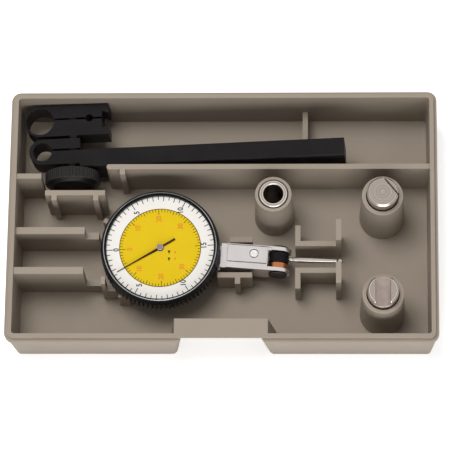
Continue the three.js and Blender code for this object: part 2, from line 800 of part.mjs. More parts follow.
function makeBody() {
  const neckEnd = noseStart + neckLength;
  const base = block(-blockBack, blockFront, -blockHalfWidth, blockHalfWidth, blockBottom, blockTop);
  const seat = rod(seatRadius, blockTop - seatFoot, seatTop, largeSegments);
  const noseShape = new THREE.Shape();
  noseShape.moveTo(blockFront - neckLength, noseBottom);
  noseShape.lineTo(prongStart, noseBottom);
  noseShape.lineTo(prongStart, pivotHeight - prongRadius);
  noseShape.absarc(pivotReach, pivotHeight, prongRadius, -Math.PI / 2, Math.PI / 2);
  noseShape.lineTo(neckEnd, noseTop);
  noseShape.lineTo(neckEnd, noseTop - neckDrop);
  noseShape.lineTo(noseStart, noseTop - neckDrop);
  noseShape.lineTo(noseStart, blockTop);
  noseShape.lineTo(blockFront - neckLength, blockTop);
  const nose = upright(noseShape, -noseHalfWidth, noseHalfWidth, smallSegments);
  const chamber = block(
    -chamberHalfLength, chamberHalfLength, -chamberHalfWidth, chamberHalfWidth,
    blockBottom - cutOverrun, seatTop + cutOverrun,
  );
  const tunnelY = (leverFront + leverRear) / 2;
  const tunnelFront = tunnelY - tunnelWidth / 2;
  const tunnelRear = tunnelY + tunnelWidth / 2;
  const tunnelBottom = noseBottom + tunnelFloor;
  const tunnel = block(0, neckEnd, tunnelFront, tunnelRear, tunnelBottom, blockTop - tunnelRoof);
  const noseTunnel = block(
    noseStart + runningGap, prongStart + cutOverrun, tunnelFront, tunnelRear,
    tunnelBottom, noseTop - noseRoof,
  );
  const slotEnd = pivotReach + prongRadius + cutOverrun;
  const slot = block(
    prongStart, slotEnd, -slotHalfWidth, slotHalfWidth, noseBottom - cutOverrun, noseTop + cutOverrun,
  );
  const pinHole = rod(pivotPinRadius + bearingGap, -noseHalfWidth - cutOverrun, noseHalfWidth + cutOverrun);
  const coverRecess = block(
    neckEnd, prongStart + cutOverrun, -noseCoverFront - seatGap, noseCoverRear + seatGap,
    noseTop - noseCoverThickness - seatGap, noseTop + cutOverrun,
  );
  const acrossBlock = blockHalfWidth + cutOverrun;
  const bushingHole = alongY(rod(bushingRadius + seatGap, -acrossBlock, acrossBlock));
  const groove = ring(
    seatRadius - frictionGrooveDepth, seatRadius + cutOverrun,
    frictionMiddle - frictionRingHeight / 2 - seatGap, frictionMiddle + frictionRingHeight / 2 + seatGap,
    largeSegments,
  );
  const pocket = screwPocket(screwRadius, screwHeadRadius, screwHeadHeight, screwLength);
  const fromBelow = moved(pocket, new THREE.Matrix4().makeRotationX(Math.PI));
  const coverPockets = coverScrewPlaces.map(([x, y]) => shifted(fromBelow, x, y, dovetailHeight));
  const platePockets = plateScrewPlaces.map((x) => shifted(pocket, x, 0, movementPlateTop));
  const nosePocket = shifted(pocket, noseScrewX, noseScrewAcross, noseTop);
  return cut(
    join(base, seat, nose), chamber, tunnel, noseTunnel, slot, coverRecess, groove, nosePocket,
    shifted(alongY(pinHole), pivotReach, 0, pivotHeight), shifted(bushingHole, 0, 0, arborHeight),
    ...coverPockets, ...platePockets,
  );
}

add(indicator, 'indicator_body', makeBody(), satinChrome());

// Back cover with the dovetail rail that a holder grips
function makeBackCover() {
  const plate = block(
    -blockBack, blockFront, -blockHalfWidth, blockHalfWidth, dovetailHeight, dovetailHeight + coverThickness,
  );
  const railGeometry = prismGeometry(polygon([
    [-dovetailWide / 2, 0], [dovetailWide / 2, 0],
    [dovetailNarrow / 2, dovetailHeight], [dovetailNarrow / 2, dovetailHeight + coverThickness / 2],
    [-dovetailNarrow / 2, dovetailHeight + coverThickness / 2], [-dovetailNarrow / 2, dovetailHeight],
  ]), -blockBack, blockFront);
  railGeometry.rotateX(Math.PI / 2);
  railGeometry.rotateZ(Math.PI / 2);
  const pocket = screwPocket(screwRadius, screwHeadRadius, screwHeadHeight, screwLength);
  const fromBelow = moved(pocket, new THREE.Matrix4().makeRotationX(Math.PI));
  const pockets = coverScrewPlaces.map(([x, y]) => shifted(fromBelow, x, y, dovetailHeight));
  return cut(join(plate, solid(railGeometry)), ...pockets);
}

add(indicator, 'back_cover', makeBackCover(), satinChrome());

const smallScrew = slottedScrew(screwRadius, screwHeadRadius, screwHeadHeight, screwLength);
const screwFromBelow = moved(smallScrew, new THREE.Matrix4().makeRotationX(Math.PI));
coverScrewPlaces.forEach(([x, y], index) => {
  const screw = shifted(screwFromBelow, x, y, dovetailHeight);
  add(indicator, `back_cover_screw_${index + 1}`, screw, brightSteel());
});

// Plate let into the top of the nose
const noseCoverStart = noseStart + neckLength + seatGap;
const noseCover = cut(
  block(
    noseCoverStart, prongStart - seatGap, -noseCoverFront, noseCoverRear,
    noseTop - noseCoverThickness, noseTop,
  ),
  shifted(
    screwPocket(screwRadius, screwHeadRadius, screwHeadHeight, screwLength),
    noseScrewX, noseScrewAcross, noseTop,
  ),
);
add(indicator, 'nose_cover_plate', noseCover, satinChrome());
add(indicator, 'nose_cover_screw', shifted(smallScrew, noseScrewX, noseScrewAcross, noseTop), brightSteel());

// Bezel: a ridged ring that turns on the dial seat and carries dial and crystal
function makeBezel() {
  const ridgedTop = bezelTop - bezelPlainHeight;
  const footTop = bezelBottom + bezelFoot;
  const core = bezelRadius - bezelRidgeDepth;
  const ridges = prism(toothedCircle(bezelRadius, bezelRidgeDepth, bezelRidges), footTop, ridgedTop);
  const rim = turned([
    [0, bezelBottom], [core, bezelBottom], [core, ridgedTop], [bezelRadius, ridgedTop],
    [bezelRadius - bezelLean, bezelTop - bezelRound], [bezelRadius - bezelLean - bezelRound, bezelTop],
    [0, bezelTop],
  ], largeSegments);
  const bore = turned([
    [0, bezelBottom - cutOverrun], [seatRadius + runningGap, bezelBottom - cutOverrun],
    [seatRadius + runningGap, ledgeBottom], [seatRadius + runningGap - bezelLedgeReach, ledgeBottom],
    [seatRadius + runningGap - bezelLedgeReach, ledgeTop], [dialRadius + seatGap, ledgeTop],
    [dialRadius + seatGap, bezelTop + cutOverrun], [0, bezelTop + cutOverrun],
  ], largeSegments);
  return cut(join(rim, ridges), bore);
}

add(indicator, 'bezel', makeBezel(), blackAnodised());
const dialPlate = ring(dialBoreRadius, dialRadius, dialBottom, dialTop, largeSegments);
add(indicator, 'dial_plate', dialPlate, dialWhite());
const spacerInner = dialRadius - spacerWall;
const spacer = ring(spacerInner, dialRadius, spacerBottom, spacerTop, largeSegments);
add(indicator, 'crystal_spacer_ring', spacer, blackAnodised());
add(indicator, 'crystal', rod(dialRadius, crystalBottom, crystalTop, largeSegments), clearCrystal());
const frictionOuter = seatRadius - frictionGrooveDepth + seatGap + frictionRingWall;
const frictionRing = ring(
  frictionOuter - frictionRingWall, frictionOuter,
  frictionMiddle - frictionRingHeight / 2, frictionMiddle + frictionRingHeight / 2, largeSegments,
);
add(indicator, 'bezel_friction_ring', frictionRing, brightSteel());

// Movement plate over the dial seat, with its jewel and two screws
function makeMovementPlate() {
  const disc = rod(movementPlateRadius, movementPlateBottom, movementPlateTop, middleSegments);
  const hole = rod(
    upperJewelRadius + bearingGap, movementPlateBottom - cutOverrun, movementPlateTop + cutOverrun,
  );
  const pocket = screwPocket(screwRadius, screwHeadRadius, screwHeadHeight, screwLength);
  return cut(disc, hole, ...plateScrewPlaces.map((x) => shifted(pocket, x, 0, movementPlateTop)));
}

add(indicator, 'movement_plate', makeMovementPlate(), brass());
plateScrewPlaces.forEach((x, index) => {
  const screw = shifted(smallScrew, x, 0, movementPlateTop);
  add(indicator, `movement_plate_screw_${index + 1}`, screw, brightSteel());
});
const upperJewel = ring(
  pointerArborRadius + bearingGap, upperJewelRadius, movementPlateBottom, movementPlateTop, smallSegments,
);
add(indicator, 'upper_jewel', upperJewel, rubyJewel());

// Cock: the small bridge that holds the foot of the pointer arbor
const cockBottom = arborHeight + wheelArborRadius + runningGap;
const cockTop = cockBottom + cockThickness;
const cock = cut(
  block(-cockHalfWidth, cockHalfWidth, -cockFront, chamberHalfWidth - seatGap, cockBottom, cockTop),
  rod(pointerPivotRadius + bearingGap, cockBottom - cutOverrun, cockTop + cutOverrun),
);
add(indicator, 'pointer_cock', cock, brass());

// Pointer arbor with its pinion
const crownTop = arborHeight + crownRadius;
const pointerArborTop = dialTop + pointerRise + pointerThickness;
function makePointerArbor() {
  const arbor = turned([
    [0, cockBottom], [pointerPivotRadius, cockBottom], [pointerPivotRadius, cockTop + runningGap],
    [pointerArborRadius, cockTop + runningGap], [pointerArborRadius, pointerArborTop], [0, pointerArborTop],
  ], smallSegments);
  const pinionBottom = crownTop - crownToothLength - bearingGap;
  const outline = gearOutline(pointerPinionTeeth, crownModule);
  const pinion = prism(outline, pinionBottom, crownTop + bearingGap);
  return join(arbor, turnedAboutZ(pinion, Math.PI / pointerPinionTeeth));
}

add(indicator, 'pointer_arbor', makePointerArbor(), brightSteel());

// Pointer and the cap over its hub
function makePointer() {
  const blade = prism(polygon([
    [-pointerTail, -pointerHalfWidth], [0, -pointerHalfWidth], [pointerReach, -pointerTipHalfWidth],
    [pointerReach, pointerTipHalfWidth], [0, pointerHalfWidth], [-pointerTail, pointerHalfWidth],
  ]), 0, pointerThickness);
  const boss = rod(pointerHubRadius, 0, pointerThickness);
  const bore = rod(pointerArborRadius + bearingGap, -cutOverrun, pointerThickness + cutOverrun);
  return turnedAboutZ(cut(join(blade, boss), bore), pointerTurn);
}

add(indicator, 'pointer', shifted(makePointer(), 0, 0, dialTop + pointerRise), pointerBrown());
const hubBottom = pointerArborTop + bearingGap;
const pointerHub = rod(pointerHubRadius, hubBottom, crystalBottom - bearingGap);
add(indicator, 'pointer_hub', pointerHub, satinChrome());

// Hairspring on the pointer arbor: a flat spiral held by a collet inside and a stud outside
function makeHairspring() {
  const steps = Math.round(hairspringTurns * smallSegments);
  const edge = (offset) => {
    const points = [];
    for (let i = 0; i <= steps; i += 1) {
      const angle = Math.PI * 2 * hairspringTurns * i / steps;
      const reach = hairspringInner + hairspringPitch * angle / (Math.PI * 2) + offset;
      points.push([reach * Math.cos(angle), reach * Math.sin(angle)]);
    }
    return points;
  };
  const outer = edge(hairspringThickness / 2);
  const inner = edge(-hairspringThickness / 2).reverse();
  return prism(polygon([...outer, ...inner]), 0, hairspringHeight);
}

const springBottom = (crownTop + movementPlateBottom - hairspringHeight) / 2;
add(indicator, 'hairspring', shifted(makeHairspring(), 0, 0, springBottom), bronze());
const colletInner = pointerArborRadius + bearingGap;
const springTop = springBottom + hairspringHeight;
const collet = ring(colletInner, colletInner + colletWall, springBottom, springTop, smallSegments);
add(indicator, 'hairspring_collet', collet, brass());
const springEnd = hairspringInner + hairspringPitch * hairspringTurns + hairspringThickness / 2;
const studAngle = Math.PI * 2 * hairspringTurns;
const studReach = springEnd + bearingGap + studRadius;
const stud = rod(studRadius, springBottom, movementPlateBottom - seatGap);
const studX = studReach * Math.cos(studAngle);
add(indicator, 'hairspring_stud', shifted(stud, studX, studReach * Math.sin(studAngle), 0), brass());

// Crown wheel: a disc with teeth standing on its face, on the wheel arbor
function makeCrownWheel() {
  const disc = ring(
    wheelArborRadius + bearingGap, crownRadius, crownDiscFront, crownDiscFront + crownDiscThickness,
    middleSegments,
  );
  const toothWidth = Math.PI * crownModule * crownToothShare;
  const toothEnd = crownRadius * Math.cos(Math.PI / middleSegments);
  const teeth = [];
  for (let i = 0; i < crownTeeth; i += 1) {
    const tooth = block(
      crownRadius - crownToothLength, toothEnd, -toothWidth / 2, toothWidth / 2,
      crownDiscFront + crownDiscThickness / 2, -crownOffset,
    );
    teeth.push(turnedAboutZ(tooth, Math.PI * 2 * i / crownTeeth));
  }
  return alongY(join(disc, ...teeth));
}

add(indicator, 'crown_wheel', shifted(makeCrownWheel(), 0, 0, arborHeight), brass());

// Wheel arbor with the pinion that the sector drives
function makeWheelArbor() {
  const arborHalf = blockHalfWidth - bearingGap * 2;
  const arbor = rod(wheelArborRadius, -arborHalf, arborHalf);
  const middle = (leverFront + leverRear) / 2;
  const outline = gearOutline(leverPinionTeeth, leverModule);
  const pinion = prism(outline, middle - leverPinionLength / 2, middle + leverPinionLength / 2);
  const gapToPivot = Math.PI / leverPinionTeeth - leverLineAngle;
  return alongY(join(arbor, turnedAboutZ(pinion, gapToPivot)));
}

add(indicator, 'wheel_arbor', shifted(makeWheelArbor(), 0, 0, arborHeight), brightSteel());
const bushingMiddle = (blockHalfWidth + chamberHalfWidth) / 2;
[['front_bushing', -bushingMiddle], ['rear_bushing', bushingMiddle]].forEach(([name, y]) => {
  const bushing = alongY(ring(
    wheelArborRadius + bearingGap, bushingRadius, -bushingLength / 2, bushingLength / 2, smallSegments,
  ));
  add(indicator, name, shifted(bushing, 0, y, arborHeight), brass());
});

// Sector lever: a bronze hub on the pivot, a cranked arm and a toothed sector
function makeSectorLever() {
  const hub = alongY(ring(
    pivotPinRadius + bearingGap, leverHubRadius, leverFront, leverFront + leverHubLength, smallSegments,
  ));
  const pitchAngle = leverModule * Math.PI / sectorRadius;
  const tip = sectorRadius + leverModule * addendumShare;
  const rootReach = sectorRadius - leverModule * dedendumShare;
  const halfTooth = pitchAngle * toothThicknessShare / 2;
  const lineAngle = Math.PI + leverLineAngle;
  const outline = [];
  const at = (reach, angle) => outline.push([reach * Math.cos(angle), reach * Math.sin(angle)]);
  for (let i = -sectorTeethAbove; i <= sectorTeethBelow; i += 1) {
    const middle = lineAngle + i * pitchAngle;
    toothCorners(rootReach, tip, halfTooth).forEach(([reach, offset]) => at(reach, middle + offset));
  }
  at(rootReach - sectorDepth, lineAngle + sectorTeethBelow * pitchAngle + pitchAngle / 2);
  at(rootReach - sectorDepth, lineAngle - sectorTeethAbove * pitchAngle - pitchAngle / 2);
  const sector = upright(polygon(outline), leverFront, leverRear);
  const armTop = leverArmHeight / 2 - leverArmDrop;
  const armFoot = armTop - leverArmHeight;
  const arm = upright(polygon([
    [sectorDepth / 2 - rootReach, armFoot], [-leverCrankFromPivot, armFoot],
    [-leverCrankRoot, armFoot + leverCrankRoot], [-leverCrankRoot, leverCrankRoot / 2],
    [-leverCrankFromPivot, armTop], [sectorDepth / 2 - rootReach, armTop],
  ]), leverFront, leverRear);
  const bore = alongY(rod(pivotPinRadius + bearingGap, leverFront - cutOverrun, cutOverrun));
  return cut(join(hub, sector, arm), bore);
}

add(indicator, 'sector_lever', shifted(makeSectorLever(), pivotReach, 0, pivotHeight), bronze());

// Pivot pin and its two caps
const pivotPin = alongY(rod(pivotPinRadius, -noseHalfWidth, noseHalfWidth));
add(indicator, 'pivot_pin', shifted(pivotPin, pivotReach, 0, pivotHeight), brightSteel());
const capProfile = [
  [0, 0], [pivotCapRadius, 0], [pivotCapRadius, pivotCapThickness / 2],
  [pivotCapRadius - pivotCapThickness / 2, pivotCapThickness], [0, pivotCapThickness],
];
const capAway = noseHalfWidth + bearingGap;
const cap = alongY(turned(capProfile, smallSegments));
const rearCap = shifted(cap, pivotReach, capAway, pivotHeight);
const capFront = capAway + pivotCapThickness;
const frontCap = cut(
  shifted(turnedAboutZ(cap, Math.PI), pivotReach, -capAway, pivotHeight),
  block(
    pivotReach - pivotCapRadius, pivotReach + pivotCapRadius, -capFront - cutOverrun,
    screwSlotDepth - capFront, pivotHeight - screwSlotWidth / 2, pivotHeight + screwSlotWidth / 2,
  ),
);
add(indicator, 'pivot_cap_front', frontCap, blackOxide());
add(indicator, 'pivot_cap_rear', rearCap, blackOxide());

// Stylus drum, shank and ball, turned together on the pivot
const stylus = new THREE.Group();
const drumFront = leverFront + leverHubLength + runningGap;
const drumRear = slotHalfWidth - runningGap;
stylus.position.set(pivotReach, (drumFront + drumRear) / 2, pivotHeight);
stylus.rotation.y = -stylusElevation;
indicator.add(stylus);
const drumHalf = (drumRear - drumFront) / 2;
const drum = cut(
  alongY(ring(pivotPinRadius + bearingGap, drumRadius, -drumHalf, drumHalf, smallSegments)),
  alongX(rod(stylusThreadRadius + seatGap, stylusThreadEntry - seatGap, drumRadius + cutOverrun)),
);
add(stylus, 'stylus_drum', drum, blackOxide());
const shankEnd = stylusReach - stylusBallRadius - bearingGap;
const neckStart = drumRadius + runningGap;
const neckEnd = neckStart + stylusNeckLength;
const grooveEnd = neckEnd + stylusGroove;
const collarEnd = grooveEnd + stylusCollarLength;
const shank = alongX(turned([
  [0, stylusThreadEntry], [stylusThreadRadius, stylusThreadEntry], [stylusThreadRadius, neckStart],
  [stylusNeckRadius, neckStart], [stylusNeckRadius, neckEnd], [stylusGrooveRadius, neckEnd],
  [stylusGrooveRadius, grooveEnd], [stylusCollarRadius, grooveEnd], [stylusCollarRadius, collarEnd],
  [stylusTipRadius, shankEnd], [0, shankEnd],
], smallSegments));
add(stylus, 'stylus_shank', shank, brightSteel());
const ball = new THREE.SphereGeometry(stylusBallRadius, smallSegments, smallSegments / 2);
ball.translate(stylusReach, 0, 0);
add(stylus, 'stylus_ball', solid(ball), brightSteel());

// Swivel holder, pitched up a little towards its bar's end
const holder = new THREE.Group();
holder.position.set(holderX, eyeY, holderHeight);
holder.rotation.set(0, -holderPitch, holderYaw, 'ZYX');
root.add(holder);

// Holding bar with the small split clamp at its end
function makeHoldingBar() {
  const slitFront = jawSlitOffset - jawSlit / 2;
  const slitBack = jawSlitOffset + jawSlit / 2;
  const over = armHalfHeight + cutOverrun;
  const eye = shifted(rod(armHalfWidth, -armHalfHeight, armHalfHeight, middleSegments), -eyeReach, 0, 0);
  const jaw = (end, y0, y1) => block(-eyeReach, end, y0, y1, -armHalfHeight, armHalfHeight);
  const frontJaw = jaw(armEnd + barOverlap, -armHalfWidth, slitFront);
  const backJaw = jaw(armEnd, slitBack, armHalfWidth);
  const section = roundedRectangle(barWidth / 2, barHeight / 2, barCornerRadius);
  const barGeometry = prismGeometry(section, armEnd, barEnd);
  barGeometry.rotateX(Math.PI / 2);
  barGeometry.rotateZ(Math.PI / 2);
  barGeometry.translate(0, barWidth / 2 - barFront, armHalfHeight - barHeight / 2);
  const slit = block(-eyeReach, armEnd, slitFront, slitBack, -over, over);
  const bore = shifted(rod(eyeBoreRadius, -over, over, middleSegments), -eyeReach, 0, 0);
  const screwHole = alongY(rod(clampScrewHole, -armHalfWidth - cutOverrun, armHalfWidth + cutOverrun));
  return cut(join(eye, frontJaw, backJaw, solid(barGeometry)), slit, bore, screwHole);
}

add(holder, 'holding_bar', makeHoldingBar(), blackOxide());

// Swivel clamp: a split eye with a dovetail mouth at the other end
const swivelFront = armHalfWidth + swivelGap;
const swivelBack = swivelFront + swivelWidth;
const swivelMiddle = (swivelFront + swivelBack) / 2;
function makeSwivelClamp() {
  const eye = shifted(
    rod(swivelWidth / 2, -armHalfHeight, armHalfHeight, middleSegments), -swivelEyeReach, swivelMiddle, 0,
  );
  const jaws = block(-swivelEyeReach, swivelEnd, swivelFront, swivelBack, -armHalfHeight, armHalfHeight);
  const over = armHalfHeight + cutOverrun;
  const bore = shifted(rod(swivelBoreRadius, -over, over, middleSegments), -swivelEyeReach, swivelMiddle, 0);
  const slitY = swivelMiddle + jawSlitOffset;
  const slitSpan = [slitY - jawSlit / 2, slitY + jawSlit / 2];
  const slit = block(-swivelEyeReach, swivelEnd + cutOverrun, ...slitSpan, -over, over);
  const relief = shifted(rod(reliefHoleRadius, -over, over), reliefHoleX, slitY, 0);
  const mouth = shifted(prism(polygon([
    [swivelEnd + cutOverrun, -dovetailMouth / 2], [swivelEnd + cutOverrun, dovetailMouth / 2],
    [swivelEnd, dovetailMouth / 2], [swivelEnd - dovetailMouthDepth, dovetailWide / 2],
    [swivelEnd - dovetailMouthDepth, -dovetailWide / 2], [swivelEnd, -dovetailMouth / 2],
  ]), -over, over), 0, swivelMiddle, 0);
  const holeEnd = swivelBack - clampScrewBackCover + seatGap;
  const screwHole = alongY(rod(clampScrewHole, swivelFront - cutOverrun, holeEnd));
  return cut(join(eye, jaws), bore, slit, relief, mouth, screwHole);
}

add(holder, 'swivel_clamp', makeSwivelClamp(), blackOxide());

// Clamp screw with its collar and knurled knob
const collarFront = -armHalfWidth - seatGap - collarLength;
const knobBackY = collarFront - seatGap;
const knobFrontY = knobBackY - knobLength;
const screwFrontY = knobFrontY + knobChamfer + knobDishDepth;
const clampScrew = alongY(rod(clampScrewRadius, screwFrontY, swivelBack - clampScrewBackCover));
add(holder, 'clamp_screw', clampScrew, brightSteel());
const collarBack = collarFront + collarLength;
const collar = alongY(ring(clampScrewHole, collarRadius, collarFront, collarBack, smallSegments));
add(holder, 'clamp_collar', collar, brightSteel());

function makeKnob() {
  const core = knobRadius - knobRidgeDepth;
  const outline = ridgedCircle(knobRadius, knobRidgeDepth, knobRidges);
  const ridged = prism(outline, knobFrontY + knobChamfer, knobBackY);
  const face = turned([
    [0, knobFrontY], [core - knobChamfer, knobFrontY], [core, knobFrontY + knobChamfer],
    [core, knobBackY - knobChamfer], [0, knobBackY - knobChamfer],
  ], middleSegments);
  const dish = rod(knobDishRadius, knobFrontY - cutOverrun, knobFrontY + knobDishDepth, middleSegments);
  const bore = rod(clampScrewHole, screwFrontY - seatGap, knobBackY + cutOverrun);
  return alongY(cut(join(ridged, face), dish, bore));
}

add(holder, 'clamp_knob', makeKnob(), blackOxide());

// Sleeve stem in the small socket
const stemFoot = trayFloor + seatGap;
const sleeveTop = trayFloor + smallSocketHeight + sleeveProud;
const sleeve = turned([
  [sleeveBoreRadius, stemFoot], [sleeveRadius, stemFoot], [sleeveRadius, sleeveTop - sleeveChamfer],
  [sleeveRadius - sleeveChamfer, sleeveTop], [sleeveBoreRadius + sleeveChamfer, sleeveTop],
  [sleeveBoreRadius, sleeveTop - sleeveChamfer], [sleeveBoreRadius, stemFoot],
], middleSegments);
add(root, 'sleeve_stem', shifted(sleeve, smallSocketX, smallSocketY, 0), brightSteel());

// Two stems with heads, standing in the large sockets
const stemTop = trayFloor + largeSocketHeight + stemHeadProud;
function stemBlank(shaftRadius) {
  return turned([
    [0, stemFoot], [shaftRadius, stemFoot], [shaftRadius, stemTop - stemHeadLength],
    [stemHeadRadius, stemTop - stemHeadLength], [stemHeadRadius, stemTop - stemHeadChamfer],
    [stemHeadRadius - stemHeadChamfer, stemTop], [0, stemTop],
  ], middleSegments);
}

const slit = turnedAboutZ(block(
  stemSlitOffset - stemSlitWidth / 2, stemSlitOffset + stemSlitWidth / 2, -stemHeadRadius, stemHeadRadius,
  stemTop - stemSlitDepth, stemTop + cutOverrun,
), stemSlitTurn);
const slitStem = cut(stemBlank(stemThinRadius), slit);
add(root, 'slit_stem', shifted(slitStem, largeSocketX, largeSocketRearY, 0), brightSteel());

const groove = upright(polygon([
  [-dovetailWide / 2, stemTop - stemGrooveDepth], [dovetailWide / 2, stemTop - stemGrooveDepth],
  [stemGrooveNarrow / 2, stemTop], [stemGrooveNarrow / 2, stemTop + cutOverrun],
  [-stemGrooveNarrow / 2, stemTop + cutOverrun], [-stemGrooveNarrow / 2, stemTop],
]), -stemHeadRadius - cutOverrun, stemHeadRadius + cutOverrun);
const grooveStem = cut(stemBlank(stemThickRadius), groove);
add(root, 'dovetail_stem', shifted(grooveStem, largeSocketX, largeSocketFrontY, 0), brightSteel());

export default root;
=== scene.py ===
import math

import bpy
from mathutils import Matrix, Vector


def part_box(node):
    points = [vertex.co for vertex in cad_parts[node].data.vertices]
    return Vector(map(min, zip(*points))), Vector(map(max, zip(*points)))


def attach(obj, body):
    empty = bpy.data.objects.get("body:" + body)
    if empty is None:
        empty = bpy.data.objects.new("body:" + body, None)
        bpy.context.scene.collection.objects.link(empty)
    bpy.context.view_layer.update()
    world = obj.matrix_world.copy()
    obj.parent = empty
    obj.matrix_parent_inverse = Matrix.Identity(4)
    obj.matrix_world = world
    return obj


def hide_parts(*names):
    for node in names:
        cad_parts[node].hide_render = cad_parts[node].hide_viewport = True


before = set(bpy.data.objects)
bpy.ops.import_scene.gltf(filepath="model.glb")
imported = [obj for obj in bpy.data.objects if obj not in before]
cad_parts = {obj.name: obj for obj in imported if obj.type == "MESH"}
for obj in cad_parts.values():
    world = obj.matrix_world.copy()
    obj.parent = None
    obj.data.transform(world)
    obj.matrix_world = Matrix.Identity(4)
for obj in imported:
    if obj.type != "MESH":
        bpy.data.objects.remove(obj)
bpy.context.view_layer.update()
bpy.ops.object.select_all(action="DESELECT")

# Camera: a long lens high over the front of the tray, leaning 18 degrees towards it,
# as the tool set was photographed.
bpy.ops.object.camera_add(location=(0.03926, -0.30367, 0.94678))
camera = bpy.context.object
camera.name = "photo_camera"
camera.rotation_mode = "ZYX"
camera.rotation_euler = (math.radians(18), math.radians(2.259), math.radians(-0.071))
camera.data.lens = 232.8
camera.data.sensor_width = 36
camera.data.clip_start = 0.01
camera.data.clip_end = 20
bpy.context.scene.camera = camera
bpy.context.scene.view_settings.view_transform = "Standard"

# Studio: a white sweep seen by the camera and in anything shiny, one broad soft lamp overhead, a
# little behind and to the left, and a broad weaker one in front. The pale table keeps the shadows.
world = bpy.data.worlds.new("white_sweep")
bpy.context.scene.world = world
world.use_nodes = True
sweep = world.node_tree
sweep_rays = sweep.nodes.new("ShaderNodeLightPath")
sweep_seen = sweep.nodes.new("ShaderNodeMath")
sweep_seen.operation = "MAXIMUM"
sweep_shiny = sweep.nodes.new("ShaderNodeMath")
sweep_shiny.operation = "MAXIMUM"
sweep_level = sweep.nodes.new("ShaderNodeMix")
sweep_level.data_type = "FLOAT"
light_on_matt = 0.3
light_on_shiny = 1.0
sweep_level.inputs["A"].default_value = light_on_matt
sweep_level.inputs["B"].default_value = light_on_shiny
sweep.links.new(sweep_rays.outputs["Is Camera Ray"], sweep_seen.inputs[0])
sweep.links.new(sweep_rays.outputs["Is Transmission Ray"], sweep_seen.inputs[1])
sweep.links.new(sweep_seen.outputs[0], sweep_shiny.inputs[0])
sweep.links.new(sweep_rays.outputs["Is Glossy Ray"], sweep_shiny.inputs[1])
sweep.links.new(sweep_shiny.outputs[0], sweep_level.inputs["Factor"])
sweep.links.new(sweep_level.outputs["Result"], sweep.nodes["Background"].inputs["Strength"])
sweep.nodes["Background"].inputs["Color"].default_value = (1.0, 0.99, 0.98, 1.0)


def soft_lamp(name, place, aim, width, height, watts, colour):
    bpy.ops.object.light_add(type="AREA", location=place)
    lamp = bpy.context.object
    lamp.name = name
    lamp.data.shape = "RECTANGLE"
    lamp.data.size = width
    lamp.data.size_y = height
    lamp.data.energy = watts
    lamp.data.color = colour
    lamp.rotation_mode = "QUATERNION"
    lamp.rotation_quaternion = (Vector(aim) - Vector(place)).to_track_quat("-Z", "Y")
    return lamp


overhead = soft_lamp("overhead_lamp", place=(-0.17, 0.14, 0.95), aim=(0, -0.02, 0),
                     width=0.42, height=0.42, watts=6.8, colour=(1.0, 0.985, 0.965))
overhead.visible_glossy = False
soft_lamp("front_lamp", place=(0.1, -0.85, 0.32), aim=(0, 0, 0.02),
          width=0.9, height=0.5, watts=5.2, colour=(1.0, 0.985, 0.97))

bpy.ops.mesh.primitive_plane_add(size=6, location=(0, 0, 0))
floor = bpy.context.object
floor.name = "floor"
floor_paint = bpy.data.materials.new("pale_floor")
floor_paint.use_nodes = True
floor_nodes = floor_paint.node_tree
floor_shader = floor_nodes.nodes["Principled BSDF"]
floor_shader.inputs["Base Color"].default_value = (0.9, 0.9, 0.9, 1)
floor_shader.inputs["Roughness"].default_value = 0.9
floor_shader.inputs["Emission Color"].default_value = (1, 1, 1, 1)
floor_rays = floor_nodes.nodes.new("ShaderNodeLightPath")
floor_glow = floor_nodes.nodes.new("ShaderNodeMath")
floor_glow.operation = "MULTIPLY"
floor_glow.inputs[1].default_value = 0.5
floor_nodes.links.new(floor_rays.outputs["Is Camera Ray"], floor_glow.inputs[0])
floor_nodes.links.new(floor_glow.outputs[0], floor_shader.inputs["Emission Strength"])
floor.data.materials.append(floor_paint)


# Case tray: one injection moulding in warm grey plastic, matt from the tool's sparked face,
# with its edges very slightly rounded and painted a little paler, a painted highlight.
def fine_grain_group():
    """Fine height and soft cloud, from the piece's own coordinates."""
    group = bpy.data.node_groups.new("fine_grain", "ShaderNodeTree")
    group.interface.new_socket("Stretch", in_out="INPUT", socket_type="NodeSocketVector")
    group.interface.new_socket("Grain per metre", in_out="INPUT", socket_type="NodeSocketFloat")
    group.interface.new_socket("Cloud per metre", in_out="INPUT", socket_type="NodeSocketFloat")
    group.interface.new_socket("Height", in_out="OUTPUT", socket_type="NodeSocketFloat")
    group.interface.new_socket("Cloud", in_out="OUTPUT", socket_type="NodeSocketFloat")
    entry = group.nodes.new("NodeGroupInput")
    leave = group.nodes.new("NodeGroupOutput")
    place = group.nodes.new("ShaderNodeTexCoord")
    stretch = group.nodes.new("ShaderNodeVectorMath")
    stretch.operation = "MULTIPLY"
    grain = group.nodes.new("ShaderNodeTexNoise")
    grain.inputs["Detail"].default_value = 3
    cloud = group.nodes.new("ShaderNodeTexNoise")
    cloud.inputs["Detail"].default_value = 4
    group.links.new(place.outputs["Object"], stretch.inputs[0])
    group.links.new(entry.outputs["Stretch"], stretch.inputs[1])
    group.links.new(stretch.outputs[0], grain.inputs["Vector"])
    group.links.new(place.outputs["Object"], cloud.inputs["Vector"])
    group.links.new(entry.outputs["Grain per metre"], grain.inputs["Scale"])
    group.links.new(entry.outputs["Cloud per metre"], cloud.inputs["Scale"])
    group.links.new(grain.outputs["Fac"], leave.inputs["Height"])
    group.links.new(cloud.outputs["Fac"], leave.inputs["Cloud"])
    return group


fine_grain = fine_grain_group()
edge_tone_twin = {}


